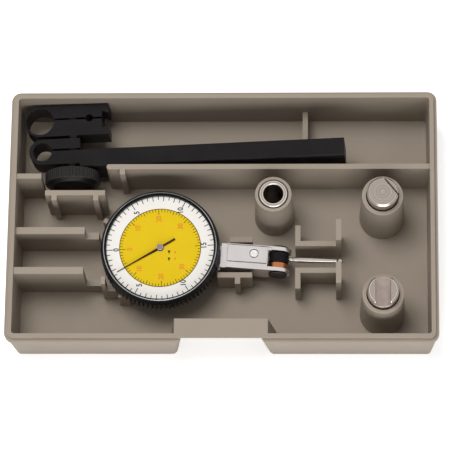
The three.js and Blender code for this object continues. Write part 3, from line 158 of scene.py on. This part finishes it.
def surface(name, dark, light, roughness, spread, grain, cloud, height,
            metallic=0.0, stretch=(1, 1, 1), specular=0.5, edge=None):
    """A finish with soft clouds in its tone and a fine grain in its gloss, and its twin in the edge colour
    for broken edges, which paints most of them paler as a highlight.
    """
    material = bpy.data.materials.new(name)
    material.use_nodes = True
    tree = material.node_tree
    shader = tree.nodes["Principled BSDF"]
    pattern = tree.nodes.new("ShaderNodeGroup")
    pattern.node_tree = fine_grain
    pattern.inputs["Stretch"].default_value = stretch
    pattern.inputs["Grain per metre"].default_value = grain
    pattern.inputs["Cloud per metre"].default_value = cloud
    tone = tree.nodes.new("ShaderNodeMix")
    tone.data_type = "RGBA"
    tone.inputs["A"].default_value = (*dark, 1)
    tone.inputs["B"].default_value = (*light, 1)
    tree.links.new(pattern.outputs["Cloud"], tone.inputs["Factor"])
    tree.links.new(tone.outputs["Result"], shader.inputs["Base Color"])
    gloss = tree.nodes.new("ShaderNodeMapRange")
    gloss.inputs["To Min"].default_value = roughness - spread
    gloss.inputs["To Max"].default_value = roughness + spread
    tree.links.new(pattern.outputs["Height"], gloss.inputs["Value"])
    tree.links.new(gloss.outputs["Result"], shader.inputs["Roughness"])
    relief = tree.nodes.new("ShaderNodeBump")
    relief.inputs["Strength"].default_value = 0.5
    relief.inputs["Distance"].default_value = height
    tree.links.new(pattern.outputs["Height"], relief.inputs["Height"])
    tree.links.new(relief.outputs["Normal"], shader.inputs["Normal"])
    shader.inputs["Metallic"].default_value = metallic
    shader.inputs["Specular IOR Level"].default_value = specular
    if edge:
        twin = material.copy()
        twin.name = name + "_edge_tone"
        twin.node_tree.nodes["Mix"].inputs["A"].default_value = (*light, 1)
        twin.node_tree.nodes["Mix"].inputs["B"].default_value = (*edge, 1)
        edge_tone_twin[material] = twin
    return material


def rounded_copy(node, name, body, finish, width, angle=35):
    """The CAD piece with its sharp edges broken, standing in its place."""
    bpy.ops.object.select_all(action="DESELECT")
    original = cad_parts[node]
    original.select_set(True)
    bpy.context.view_layer.objects.active = original
    bpy.ops.object.duplicate()
    piece = bpy.context.object
    piece.name = name
    for key in list(piece.keys()):
        del piece[key]
    piece.parent = None
    bpy.ops.object.mode_set(mode="EDIT")
    bpy.ops.mesh.select_all(action="SELECT")
    bpy.ops.mesh.remove_doubles(threshold=0.000002)
    bpy.ops.mesh.dissolve_limited(angle_limit=math.radians(0.4))
    bpy.ops.object.mode_set(mode="OBJECT")
    edges = piece.modifiers.new("broken_edges", "BEVEL")
    edges.width = width
    edges.segments = 2
    edges.limit_method = "ANGLE"
    edges.angle_limit = math.radians(angle)
    piece.data.materials.clear()
    piece.data.materials.append(finish)
    piece.data.materials.append(edge_tone_twin[finish])
    # The bevel faces take the twin's edge colour, on most finishes a painted highlight.
    edges.material = 1
    bpy.ops.object.modifier_apply(modifier=edges.name)
    bpy.ops.object.shade_smooth_by_angle(angle=math.radians(angle))
    flat_faces = piece.modifiers.new("flat_faces", "WEIGHTED_NORMAL")
    flat_faces.keep_sharp = True
    flat_faces.weight = 90
    bpy.ops.object.modifier_apply(modifier=flat_faces.name)
    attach(piece, body)
    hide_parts(node)
    bpy.ops.object.select_all(action="DESELECT")
    return piece


def paint(finish, *nodes):
    """Give its finish to each CAD piece that keeps its shape."""
    for node in nodes:
        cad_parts[node].data.materials.clear()
        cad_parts[node].data.materials.append(finish)


tray_plastic = surface("warm_grey_plastic", dark=(0.28, 0.239, 0.195), light=(0.335, 0.287, 0.236),
                       edge=(0.385, 0.333, 0.275), roughness=0.55, spread=0.08,
                       grain=2600, cloud=45, height=0.00004, specular=0.4)
tray = rounded_copy("case_tray", "tray", "case", tray_plastic, width=0.00022)

# Small socket: part of the tray's moulding. The outer edge of its mouth is glossy and painted
# much paler than the tray, a painted highlight that shows as a narrow pale ring.
glossy_lip_with_painted_highlight = surface("moulded_lip_painted_highlight", dark=(0.62, 0.56, 0.48), light=(0.74, 0.67, 0.58),
                     roughness=0.3, spread=0.05, grain=2600, cloud=90, height=0.00001)


def refinish(piece, finish, chosen):
    """Give the faces of a piece that a test picks out a finish of their own."""
    piece.data.materials.append(finish)
    piece.select_set(True)
    bpy.context.view_layer.objects.active = piece
    bpy.ops.object.mode_set(mode="EDIT")
    bpy.ops.mesh.select_all(action="DESELECT")
    bpy.ops.object.mode_set(mode="OBJECT")
    for face in piece.data.polygons:
        face.select = chosen(face)
    bpy.ops.object.mode_set(mode="EDIT")
    piece.active_material_index = len(piece.data.materials) - 1
    bpy.ops.object.material_slot_assign()
    bpy.ops.object.mode_set(mode="OBJECT")
    bpy.ops.object.select_all(action="DESELECT")


socket_low, socket_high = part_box("sleeve_stem")
socket_x = (socket_low[0] + socket_high[0]) / 2
socket_y = (socket_low[1] + socket_high[1]) / 2
lip_above = 0.024
lip_inner = 0.0055
lip_outer = 0.0064
refinish(tray, glossy_lip_with_painted_highlight, lambda face: face.material_index == 1 and face.center.z > lip_above
         and lip_inner < math.hypot(face.center.x - socket_x, face.center.y - socket_y) < lip_outer)

# Indicator frame: milled steel with satin chrome plating. The back cover with its dovetail and
# the plate in the top of the nose are ground flat and screwed on.
# Satin chrome's broken edges are painted near white, a painted highlight.
satin_chrome = surface("satin_chrome", dark=(0.60, 0.565, 0.555), light=(0.72, 0.69, 0.68),
                       edge=(0.95, 0.94, 0.93), roughness=0.3, spread=0.06,
                       grain=3000, cloud=200, height=0.000004, metallic=1.0, stretch=(0.2, 3, 3))
rounded_copy("indicator_body", "indicator_frame", "indicator", satin_chrome, width=0.00012)
rounded_copy("back_cover", "back_plate", "indicator", satin_chrome, width=0.0001)
rounded_copy("nose_cover_plate", "nose_plate", "indicator", satin_chrome, width=0.00008)

# Screws of the frame: turned from bright steel, with a sawn slot. Four hold the back cover, and a
# polished one holds the plate of the nose.
# Bright steel's broken edges are painted paler, a painted highlight.
bright_steel = surface("bright_steel", dark=(0.50, 0.475, 0.45), light=(0.66, 0.635, 0.61),
                       edge=(0.78, 0.76, 0.74), roughness=0.24, spread=0.06,
                       grain=5000, cloud=250, height=0.000004, metallic=1.0)
for number in (1, 2, 3, 4):
    rounded_copy(f"back_cover_screw_{number}", f"cover_screw_{number}", "indicator",
                 bright_steel, width=0.00006)
# Polished steel's broken edges are painted darker than its faces.
polished_steel = surface("polished_steel", dark=(0.82, 0.81, 0.80), light=(0.92, 0.91, 0.9),
                         edge=(0.5, 0.48, 0.47), roughness=0.18, spread=0.05,
                         grain=5000, cloud=250, height=0.000003, metallic=1.0)
rounded_copy("nose_cover_screw", "nose_screw", "indicator", polished_steel, width=0.00006)

# Movement: plates, wheels and bearings of brass, arbors of steel, a ruby bearing and a bronze
# spring, all turned or punched and hidden under the dial.
brass = surface("turned_brass", dark=(0.60, 0.42, 0.16), light=(0.72, 0.52, 0.22),
                roughness=0.32, spread=0.06, grain=4000, cloud=200, height=0.000004, metallic=1.0)
bronze = surface("bronze", dark=(0.42, 0.15, 0.06), light=(0.58, 0.23, 0.1),
                 roughness=0.3, spread=0.07, grain=4000, cloud=220, height=0.000004, metallic=1.0)
ruby = surface("ruby", dark=(0.25, 0.01, 0.03), light=(0.34, 0.015, 0.045),
               roughness=0.08, spread=0.03, grain=3000, cloud=400, height=0.000001)
paint(brass, "movement_plate", "pointer_cock", "crown_wheel", "front_bushing", "rear_bushing",
      "hairspring_collet", "hairspring_stud")
paint(bright_steel, "movement_plate_screw_1", "movement_plate_screw_2", "pointer_arbor", "wheel_arbor",
      "bezel_friction_ring", "pivot_pin")
paint(bronze, "hairspring", "sector_lever")
paint(ruby, "upper_jewel")

# Dial: an aluminium disc enamelled white, with the yellow centre, its thin outline and the two
# scales printed over it in ink.
dial_low, dial_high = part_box("dial_plate")
dial_x = (dial_low[0] + dial_high[0]) / 2
dial_y = (dial_low[1] + dial_high[1]) / 2
dial_face = dial_high[2]
white_enamel = surface("white_enamel", dark=(0.82, 0.80, 0.76), light=(0.9, 0.88, 0.84),
                       roughness=0.42, spread=0.05, grain=2500, cloud=120, height=0.000003, specular=0.2)
paint(white_enamel, "dial_plate")

yellow_ink = surface("yellow_ink", dark=(0.72, 0.50, 0.01), light=(0.79, 0.56, 0.018),
                     roughness=0.5, spread=0.05, grain=3500, cloud=110, height=0.000003, specular=0.05)
black_ink = surface("black_ink", dark=(0.012, 0.01, 0.011), light=(0.03, 0.026, 0.027),
                    roughness=0.5, spread=0.06, grain=4000, cloud=300, height=0.000002, specular=0.1)
orange_ink = surface("orange_ink", dark=(0.70, 0.20, 0.02), light=(0.80, 0.26, 0.03),
                     roughness=0.5, spread=0.06, grain=4000, cloud=300, height=0.000002, specular=0.1)
outline_ink = surface("outline_ink", dark=(0.075, 0.05, 0.008), light=(0.12, 0.08, 0.015),
                      roughness=0.5, spread=0.06, grain=4000, cloud=300, height=0.000002, specular=0.1)


def printed(piece, name, ink):
    """A layer of ink that turns with the dial."""
    piece.name = name
    piece.data.materials.clear()
    piece.data.materials.append(ink)
    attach(piece, "bezel_and_dial")
    bpy.ops.object.select_all(action="DESELECT")


def ink_ring(name, inner, outer, low, high, ink):
    """A flat ring of ink over the dial's face, its top edges drawn in a little."""
    bpy.ops.mesh.primitive_circle_add(vertices=144, radius=outer, location=(dial_x, dial_y, dial_face + low))
    bpy.ops.object.transform_apply(location=True)
    bpy.ops.object.mode_set(mode="EDIT")
    bpy.ops.mesh.select_all(action="SELECT")
    middle = (dial_x, dial_y, dial_face)
    lift = high - low
    soft = lift * 0.5
    bpy.ops.mesh.extrude_region_move(TRANSFORM_OT_translate={"value": (0, 0, lift * 0.6)})
    bpy.ops.mesh.extrude_region_move(TRANSFORM_OT_translate={"value": (0, 0, lift * 0.4)})
    first = (outer - soft) / outer
    bpy.ops.transform.resize(value=(first, first, 1), center_override=middle)
    bpy.ops.mesh.extrude_region_move(TRANSFORM_OT_translate={"value": (0, 0, 0)})
    second = (inner + soft) / (outer - soft)
    bpy.ops.transform.resize(value=(second, second, 1), center_override=middle)
    bpy.ops.mesh.extrude_region_move(TRANSFORM_OT_translate={"value": (0, 0, -lift * 0.4)})
    third = inner / (inner + soft)
    bpy.ops.transform.resize(value=(third, third, 1), center_override=middle)
    bpy.ops.mesh.extrude_region_move(TRANSFORM_OT_translate={"value": (0, 0, -lift * 0.6)})
    bpy.ops.mesh.select_all(action="SELECT")
    bpy.ops.mesh.region_to_loop()
    bpy.ops.mesh.bridge_edge_loops()
    bpy.ops.mesh.select_all(action="SELECT")
    bpy.ops.mesh.normals_make_consistent(inside=False)
    bpy.ops.object.mode_set(mode="OBJECT")
    printed(bpy.context.object, name, ink)


ink_ring("yellow_centre", inner=0.0013, outer=0.01352, low=0.00001, high=0.00003, ink=yellow_ink)
ink_ring("centre_outline", inner=0.01348, outer=0.01374, low=0.00001, high=0.000035, ink=outline_ink)
scale_turn = math.radians(3)
print_level = 0.00004
print_depth = 0.00002


def tick_row(inner, outer, width, count):
    """One tick modelled once and spun round the dial into a full row."""
    reach = (inner + outer) / 2
    bpy.ops.mesh.primitive_cube_add(size=1, location=(
        dial_x + reach * math.cos(scale_turn), dial_y + reach * math.sin(scale_turn),
        dial_face + print_level))
    tick = bpy.context.object
    tick.scale = (outer - inner, width, print_depth)
    tick.rotation_euler = (0, 0, scale_turn)
    bpy.ops.object.transform_apply(location=True, rotation=True, scale=True)
    bpy.ops.object.mode_set(mode="EDIT")
    bpy.ops.mesh.select_all(action="SELECT")
    bpy.ops.mesh.bevel(offset=0.000006, segments=1)
    bpy.ops.mesh.select_all(action="SELECT")
    bpy.ops.mesh.spin(steps=count - 1, dupli=True, angle=math.radians(360 - 360 / count),
                      center=(dial_x, dial_y, dial_face), axis=(0, 0, 1))
    bpy.ops.object.mode_set(mode="OBJECT")
    return tick


def joined(pieces):
    """Pieces of print made one."""
    bpy.ops.object.select_all(action="DESELECT")
    for piece in pieces:
        piece.select_set(True)
    bpy.context.view_layer.objects.active = pieces[0]
    bpy.ops.object.join()
    return bpy.context.object


printed(joined([tick_row(inner=0.0169, outer=0.0181, width=0.00024, count=60),
                tick_row(inner=0.0165, outer=0.0169, width=0.00026, count=30),
                tick_row(inner=0.0159, outer=0.0165, width=0.00026, count=6)]),
        "outer_scale_lines", black_ink)
printed(joined([tick_row(inner=0.0126, outer=0.0135, width=0.00022, count=80),
                tick_row(inner=0.0122, outer=0.0126, width=0.00022, count=16),
                tick_row(inner=0.0117, outer=0.0122, width=0.00026, count=8)]),
        "inner_scale_lines", outline_ink)
numeral_level = 0.00005
numeral_turn = math.radians(93)
numeral_weight = 0.00004
narrowing = 0.86
letter_over_figure = 1.38


def numeral(text, height, reach, degrees):
    """A raised numeral, upright for a reader at the right of the tray."""
    bpy.ops.object.text_add(location=(0, 0, 0))
    figure = bpy.context.object
    figure.data.body = text
    figure.data.size = height * letter_over_figure
    figure.data.align_x = "CENTER"
    figure.data.align_y = "CENTER"
    figure.data.extrude = print_depth / 2
    figure.data.resolution_u = 4
    figure.data.offset = numeral_weight
    bpy.ops.object.convert(target="MESH")
    figure = bpy.context.object
    turn = math.radians(degrees)
    figure.location = (
        dial_x + reach * math.cos(turn), dial_y + reach * math.sin(turn), dial_face + numeral_level)
    figure.rotation_euler = (0, 0, numeral_turn)
    figure.scale = (narrowing, 1, 1)
    bpy.ops.object.transform_apply(location=True, rotation=True, scale=True)
    return figure


printed(joined([numeral(text, height=0.0019, reach=0.0147, degrees=degrees) for text, degrees in (
    ("0", 183), ("5", 123), ("10", 63), ("15", 3), ("10", -57), ("5", -117))]), "outer_numerals", black_ink)
printed(joined([numeral(text, height=0.0018, reach=0.0101, degrees=degrees) for text, degrees in (
    ("0", 183), ("10", 138), ("20", 93), ("30", 48), ("30", -42), ("20", -87), ("10", -132))]),
    "inner_numerals", orange_ink)


def arrow(x, y, half, length):
    """A small printed arrowhead that points to the front."""
    bpy.ops.mesh.primitive_circle_add(vertices=3, radius=half, fill_type="NGON",
                                      location=(dial_x + x, dial_y + y, dial_face + print_level))
    head = bpy.context.object
    head.rotation_euler = (0, 0, math.pi)
    head.scale = (1, length / half / 1.5, 1)
    bpy.ops.object.transform_apply(location=True, rotation=True, scale=True)
    bpy.ops.object.mode_set(mode="EDIT")
    bpy.ops.mesh.select_all(action="SELECT")
    bpy.ops.mesh.extrude_region_move(TRANSFORM_OT_translate={"value": (0, 0, print_depth)})
    bpy.ops.mesh.select_all(action="SELECT")
    bpy.ops.mesh.normals_make_consistent(inside=False)
    bpy.ops.object.mode_set(mode="OBJECT")
    return head


printed(joined([arrow(x=0.00305, y=-0.0014, half=0.00055, length=0.0013),
                arrow(x=0.00305, y=-0.0039, half=0.00055, length=0.0013)]), "black_arrows", black_ink)
printed(joined([arrow(x=0.00506, y=-0.0016, half=0.00042, length=0.001),
                arrow(x=0.00506, y=-0.00385, half=0.00042, length=0.001)]), "orange_arrows", orange_ink)

# Pointer: a thin strip of sheet metal, painted near black and tapered to its tip, pressed on the
# arbor under a small turned cap of brushed steel.
# The pointer's broken edges are painted paler, a painted highlight.
pointer_paint = surface("pointer_paint", dark=(0.022, 0.008, 0.004), light=(0.04, 0.014, 0.007),
                        edge=(0.07, 0.03, 0.015), roughness=0.45, spread=0.06,
                        grain=3000, cloud=400, height=0.000002, specular=0.15)
rounded_copy("pointer", "pointer_strip", "pointer_and_arbor", pointer_paint, width=0.00004)
# The cap's broken edges are painted paler, a painted highlight.
cap_steel = surface("brushed_cap", dark=(0.27, 0.21, 0.205), light=(0.4, 0.325, 0.32),
                    edge=(0.6, 0.55, 0.54), roughness=0.36, spread=0.06,
                    grain=4000, cloud=600, height=0.000003, metallic=1.0)
rounded_copy("pointer_hub", "pointer_cap", "pointer_and_arbor", cap_steel, width=0.00015)

# Bezel: turned from aluminium, knurled below its plain rim and anodised black, with a thin black
# ring inside it that holds the crystal off the dial.
# The bezel's broken edges and knurl are painted pale grey, a painted highlight.
black_anodised = surface("black_anodised", dark=(0.006, 0.0065, 0.0075), light=(0.011, 0.0115, 0.013),
                         edge=(0.13, 0.13, 0.135), roughness=0.34, spread=0.06,
                         grain=5000, cloud=300, height=0.000003, specular=0.2)
rounded_copy("bezel", "bezel_ring", "bezel_and_dial", black_anodised,
             width=0.0001, angle=30)
paint(black_anodised, "crystal_spacer_ring")


# Bezel bead: a low bead round the inner edge of the bezel is turned bare after the anodising,
# which leaves a narrow bright line round the crystal.
def lathe(profile, vertices):
    """A closed ring drawn up from one circle: each step is extruded along Z and then resized."""
    radius, height = profile[0]
    bpy.ops.mesh.primitive_circle_add(vertices=vertices, radius=radius, location=(0, 0, height))
    bpy.ops.object.transform_apply(location=True)
    bpy.ops.object.mode_set(mode="EDIT")
    bpy.ops.mesh.select_all(action="SELECT")
    for next_radius, next_height in profile[1:]:
        bpy.ops.mesh.extrude_region_move(TRANSFORM_OT_translate={"value": (0, 0, next_height - height)})
        grow = next_radius / radius
        bpy.ops.transform.resize(value=(grow, grow, 1), center_override=(0, 0, 0))
        radius, height = next_radius, next_height
    bpy.ops.mesh.select_all(action="SELECT")
    bpy.ops.mesh.region_to_loop()
    bpy.ops.mesh.bridge_edge_loops()
    bpy.ops.mesh.select_all(action="SELECT")
    bpy.ops.mesh.remove_doubles(threshold=0.000001)
    bpy.ops.mesh.normals_make_consistent(inside=False)
    bpy.ops.object.mode_set(mode="OBJECT")
    bpy.ops.object.shade_smooth_by_angle(angle=math.radians(30))
    return bpy.context.object


def settle(piece, name, place, turn, body, finish):
    """Turn and move a finished piece to its place, keep that in its mesh, and fix it to its body."""
    piece.name = name
    piece.rotation_euler = turn
    piece.location = place
    bpy.ops.object.transform_apply(location=True, rotation=True, scale=True)
    piece.data.materials.clear()
    piece.data.materials.append(finish)
    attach(piece, body)
    bpy.ops.object.select_all(action="DESELECT")


bezel_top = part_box("bezel")[1][2]
cut_edge = surface("bare_cut_edge", dark=(0.30, 0.3, 0.3), light=(0.46, 0.455, 0.45),
                   roughness=0.22, spread=0.05, grain=6000, cloud=300, height=0.000001, metallic=1.0)
bead_inner = 0.01876
bead_crown = 0.01884
bead_outer = 0.01903
bead_foot = -0.00003
bead = lathe([(bead_outer, bead_foot), (bead_outer, 0.00002), (bead_crown, 0.00015), (bead_inner, 0.00012),
              (bead_inner, bead_foot)], vertices=144)
settle(bead, "bezel_bead", place=(dial_x, dial_y, bezel_top), turn=(0, 0, 0),
       body="bezel_and_dial", finish=cut_edge)

# Crystal: a flat disc of clear glass, ground to its size and pressed into the bezel over the
# spacer ring. Its polish carries only the faintest haze.
crystal_glass = bpy.data.materials.new("clear_glass")
crystal_glass.use_nodes = True
glass_nodes = crystal_glass.node_tree
glass_shader = glass_nodes.nodes["Principled BSDF"]
glass_shader.inputs["Base Color"].default_value = (0.02, 0.022, 0.022, 1)
glass_shader.inputs["Alpha"].default_value = 0.02
glass_shader.inputs["IOR"].default_value = 1.5
glass_grain = glass_nodes.nodes.new("ShaderNodeGroup")
glass_grain.node_tree = fine_grain
glass_grain.inputs["Stretch"].default_value = (1, 1, 1)
glass_grain.inputs["Grain per metre"].default_value = 900
glass_grain.inputs["Cloud per metre"].default_value = 60
glass_haze = glass_nodes.nodes.new("ShaderNodeMapRange")
glass_haze.inputs["To Min"].default_value = 0.0
glass_haze.inputs["To Max"].default_value = 0.02
glass_nodes.links.new(glass_grain.outputs["Height"], glass_haze.inputs["Value"])
glass_nodes.links.new(glass_haze.outputs["Result"], glass_shader.inputs["Roughness"])
paint(crystal_glass, "crystal")

# Stylus drum: turned steel, blackened, with fine grooves round it, on the pivot between the two
# prongs of the nose.
# Blackened parts have their broken edges painted grey, a painted highlight.
black_oxide = surface("black_oxide", dark=(0.0065, 0.0058, 0.0065), light=(0.0145, 0.013, 0.014),
                      edge=(0.11, 0.10, 0.095), roughness=0.42, spread=0.08,
                      grain=5000, cloud=150, height=0.000006, specular=0.12)
indicator_turn = math.radians(-4.4)
drum_from_middle = 0.001005
drum_half = 0.001645
drum_radius = 0.0033
drum_bore = 0.00075
chamfer_radius = 0.00312
chamfer_start = 0.00147
groove_radius = 0.00317
groove_count = 7
groove_spacing = 0.0004
first_groove = -0.00131
along_pivot = Vector((-math.sin(indicator_turn), math.cos(indicator_turn), 0))
pivot_low, pivot_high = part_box("pivot_pin")
pivot = Vector([(pivot_low[side] + pivot_high[side]) / 2 for side in range(3)])
lie_along_pivot = (-math.pi / 2, 0, indicator_turn)
drum_steps = [(drum_bore, -drum_half), (chamfer_radius, -drum_half), (drum_radius, -chamfer_start)]
for groove in range(groove_count):
    start = first_groove + groove * groove_spacing
    drum_steps += [(drum_radius, start), (groove_radius, start + 0.00005),
                   (groove_radius, start + 0.00017), (drum_radius, start + 0.00022)]
drum_steps += [(drum_radius, chamfer_start), (chamfer_radius, drum_half), (drum_bore, drum_half)]
drum = lathe(drum_steps, vertices=64)
settle(drum, "grooved_drum", place=pivot + along_pivot * drum_from_middle, turn=lie_along_pivot,
       body="stylus", finish=black_oxide)
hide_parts("stylus_drum")

# Stylus: a slender shank of bright ground steel, screwed into the drum, with a polished hard ball
# brazed to its end.
# The stylus steel's broken edges are painted paler, a painted highlight.
ground_steel = surface("ground_steel", dark=(0.42, 0.39, 0.365), light=(0.58, 0.55, 0.52),
                       edge=(0.75, 0.72, 0.7), roughness=0.13, spread=0.04,
                       grain=5000, cloud=300, height=0.000002, metallic=1.0, stretch=(0.3, 3, 3))
rounded_copy("stylus_shank", "shank", "stylus", ground_steel, width=0.00005)
rounded_copy("stylus_ball", "ball", "stylus", ground_steel, width=0.00005, angle=60)

# Pivot caps: two round caps turned from steel and blackened. They close the pivot pin's bearings
# on both sides of the nose.
rounded_copy("pivot_cap_rear", "rear_cap", "indicator", black_oxide, width=0.00008)
rounded_copy("pivot_cap_front", "front_cap", "indicator", black_oxide, width=0.00008)

# Holding bar: a cold drawn steel bar of flat section, blackened in oil. A split eye is milled at
# its end, in which a stem can be gripped.
rounded_copy("holding_bar", "bar", "holder", black_oxide, width=0.0002)

# Swivel clamp: a steel block with a bored and split eye and a dovetail mouth, milled all over and
# blackened in oil. It turns on the clamp screw beside the bar.
rounded_copy("swivel_clamp", "clamp", "swivel", black_oxide, width=0.0002)

# Clamp screw, collar and knob: all turned from steel. The screw and the collar are left bright.
# The knob is knurled and blackened, with the crests of its knurl painted pale, a painted highlight.
knurled_black = surface("knurled_black", dark=(0.006, 0.0052, 0.006), light=(0.011, 0.0095, 0.0105),
                        edge=(0.075, 0.068, 0.066), roughness=0.4, spread=0.08,
                        grain=5000, cloud=150, height=0.000006, specular=0.12)
rounded_copy("clamp_screw", "screw", "knob_and_screw", polished_steel, width=0.00015)
rounded_copy("clamp_collar", "collar", "knob_and_screw", polished_steel, width=0.00015)
rounded_copy("clamp_knob", "knob", "knob_and_screw", knurled_black, width=0.00012, angle=25)


# Stems: turned from bright steel bar, with their ends faced off in the lathe. One is a plain
# sleeve, one has a sawn slot in its head, and one has a dovetail groove.
def turned_group():
    """Fine rings round a centre line that stands upright."""
    group = bpy.data.node_groups.new("turned_rings", "ShaderNodeTree")
    group.interface.new_socket("Centre", in_out="INPUT", socket_type="NodeSocketVector")
    group.interface.new_socket("Rings per metre", in_out="INPUT", socket_type="NodeSocketFloat")
    group.interface.new_socket("Ring", in_out="OUTPUT", socket_type="NodeSocketFloat")
    entry = group.nodes.new("NodeGroupInput")
    leave = group.nodes.new("NodeGroupOutput")
    place = group.nodes.new("ShaderNodeTexCoord")
    away = group.nodes.new("ShaderNodeVectorMath")
    away.operation = "SUBTRACT"
    flat = group.nodes.new("ShaderNodeVectorMath")
    flat.operation = "MULTIPLY"
    flat.inputs[1].default_value = (1, 1, 0)
    reach = group.nodes.new("ShaderNodeVectorMath")
    reach.operation = "LENGTH"
    rings = group.nodes.new("ShaderNodeTexNoise")
    rings.noise_dimensions = "1D"
    rings.inputs["Detail"].default_value = 3
    group.links.new(place.outputs["Object"], away.inputs[0])
    group.links.new(entry.outputs["Centre"], away.inputs[1])
    group.links.new(away.outputs[0], flat.inputs[0])
    group.links.new(flat.outputs[0], reach.inputs[0])
    group.links.new(reach.outputs["Value"], rings.inputs["W"])
    group.links.new(entry.outputs["Rings per metre"], rings.inputs["Scale"])
    group.links.new(rings.outputs["Fac"], leave.inputs["Ring"])
    return group


turned_rings = turned_group()
rings_per_metre = 2600
# The stems' broken edges and chamfers are painted near white, a painted highlight.
for node, body in (("sleeve_stem", "sleeve"), ("slit_stem", "slit"), ("dovetail_stem", "dovetail")):
    stem_low, stem_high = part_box(node)
    turned_steel = surface(f"turned_steel_{body}", dark=(0.30, 0.255, 0.225), light=(0.48, 0.42, 0.38),
                           edge=(0.92, 0.88, 0.83), roughness=0.26, spread=0.07,
                           grain=5000, cloud=180, height=0.000008, metallic=1.0)
    stem_nodes = turned_steel.node_tree
    stem_rings = stem_nodes.nodes.new("ShaderNodeGroup")
    stem_rings.node_tree = turned_rings
    stem_rings.inputs["Centre"].default_value = (
        (stem_low[0] + stem_high[0]) / 2, (stem_low[1] + stem_high[1]) / 2, 0)
    stem_rings.inputs["Rings per metre"].default_value = rings_per_metre
    stem_bump = stem_nodes.nodes["Bump"]
    stem_nodes.links.new(stem_rings.outputs["Ring"], stem_bump.inputs["Height"])
    stem_tone = stem_nodes.nodes.new("ShaderNodeMapRange")
    stem_tone.inputs["From Min"].default_value = 0.36
    stem_tone.inputs["From Max"].default_value = 0.64
    stem_nodes.links.new(stem_rings.outputs["Ring"], stem_tone.inputs["Value"])
    stem_nodes.links.new(stem_tone.outputs["Result"], stem_nodes.nodes["Mix"].inputs["Factor"])
    stem = rounded_copy(node, f"{body}_stem_turned", body, turned_steel, width=0.00016)

# Dovetail groove: milled across the head of the last stem after it was turned, so that its floor
# keeps the straight lines of the cutter. The edges of its mouth are painted dark, a painted shade.
groove_x = (stem_low[0] + stem_high[0]) / 2
groove_half = 0.0029
head_top = stem_high[2]
groove_mouth_painted_shade = surface("groove_mouth_painted_shade", dark=(0.05, 0.042, 0.036), light=(0.10, 0.085, 0.075),
                      roughness=0.35, spread=0.06, grain=4000, cloud=300, height=0.000002, metallic=1.0)
milled_floor = surface("milled_floor", dark=(0.24, 0.19, 0.165), light=(0.50, 0.42, 0.38),
                       roughness=0.3, spread=0.07, grain=1500, cloud=300,
                       height=0.000006, metallic=1.0, stretch=(4, 0.15, 1))
refinish(stem, groove_mouth_painted_shade, lambda face: face.material_index == 1 and abs(face.center.z - head_top) < 0.0003
         and 0.002 < abs(face.center.x - groove_x) < groove_half and abs(face.normal.x) > 0.2)
refinish(stem, milled_floor, lambda face: face.normal.z > 0.95 and 0.0004 < head_top - face.center.z < 0.004
         and abs(face.center.x - groove_x) < groove_half)
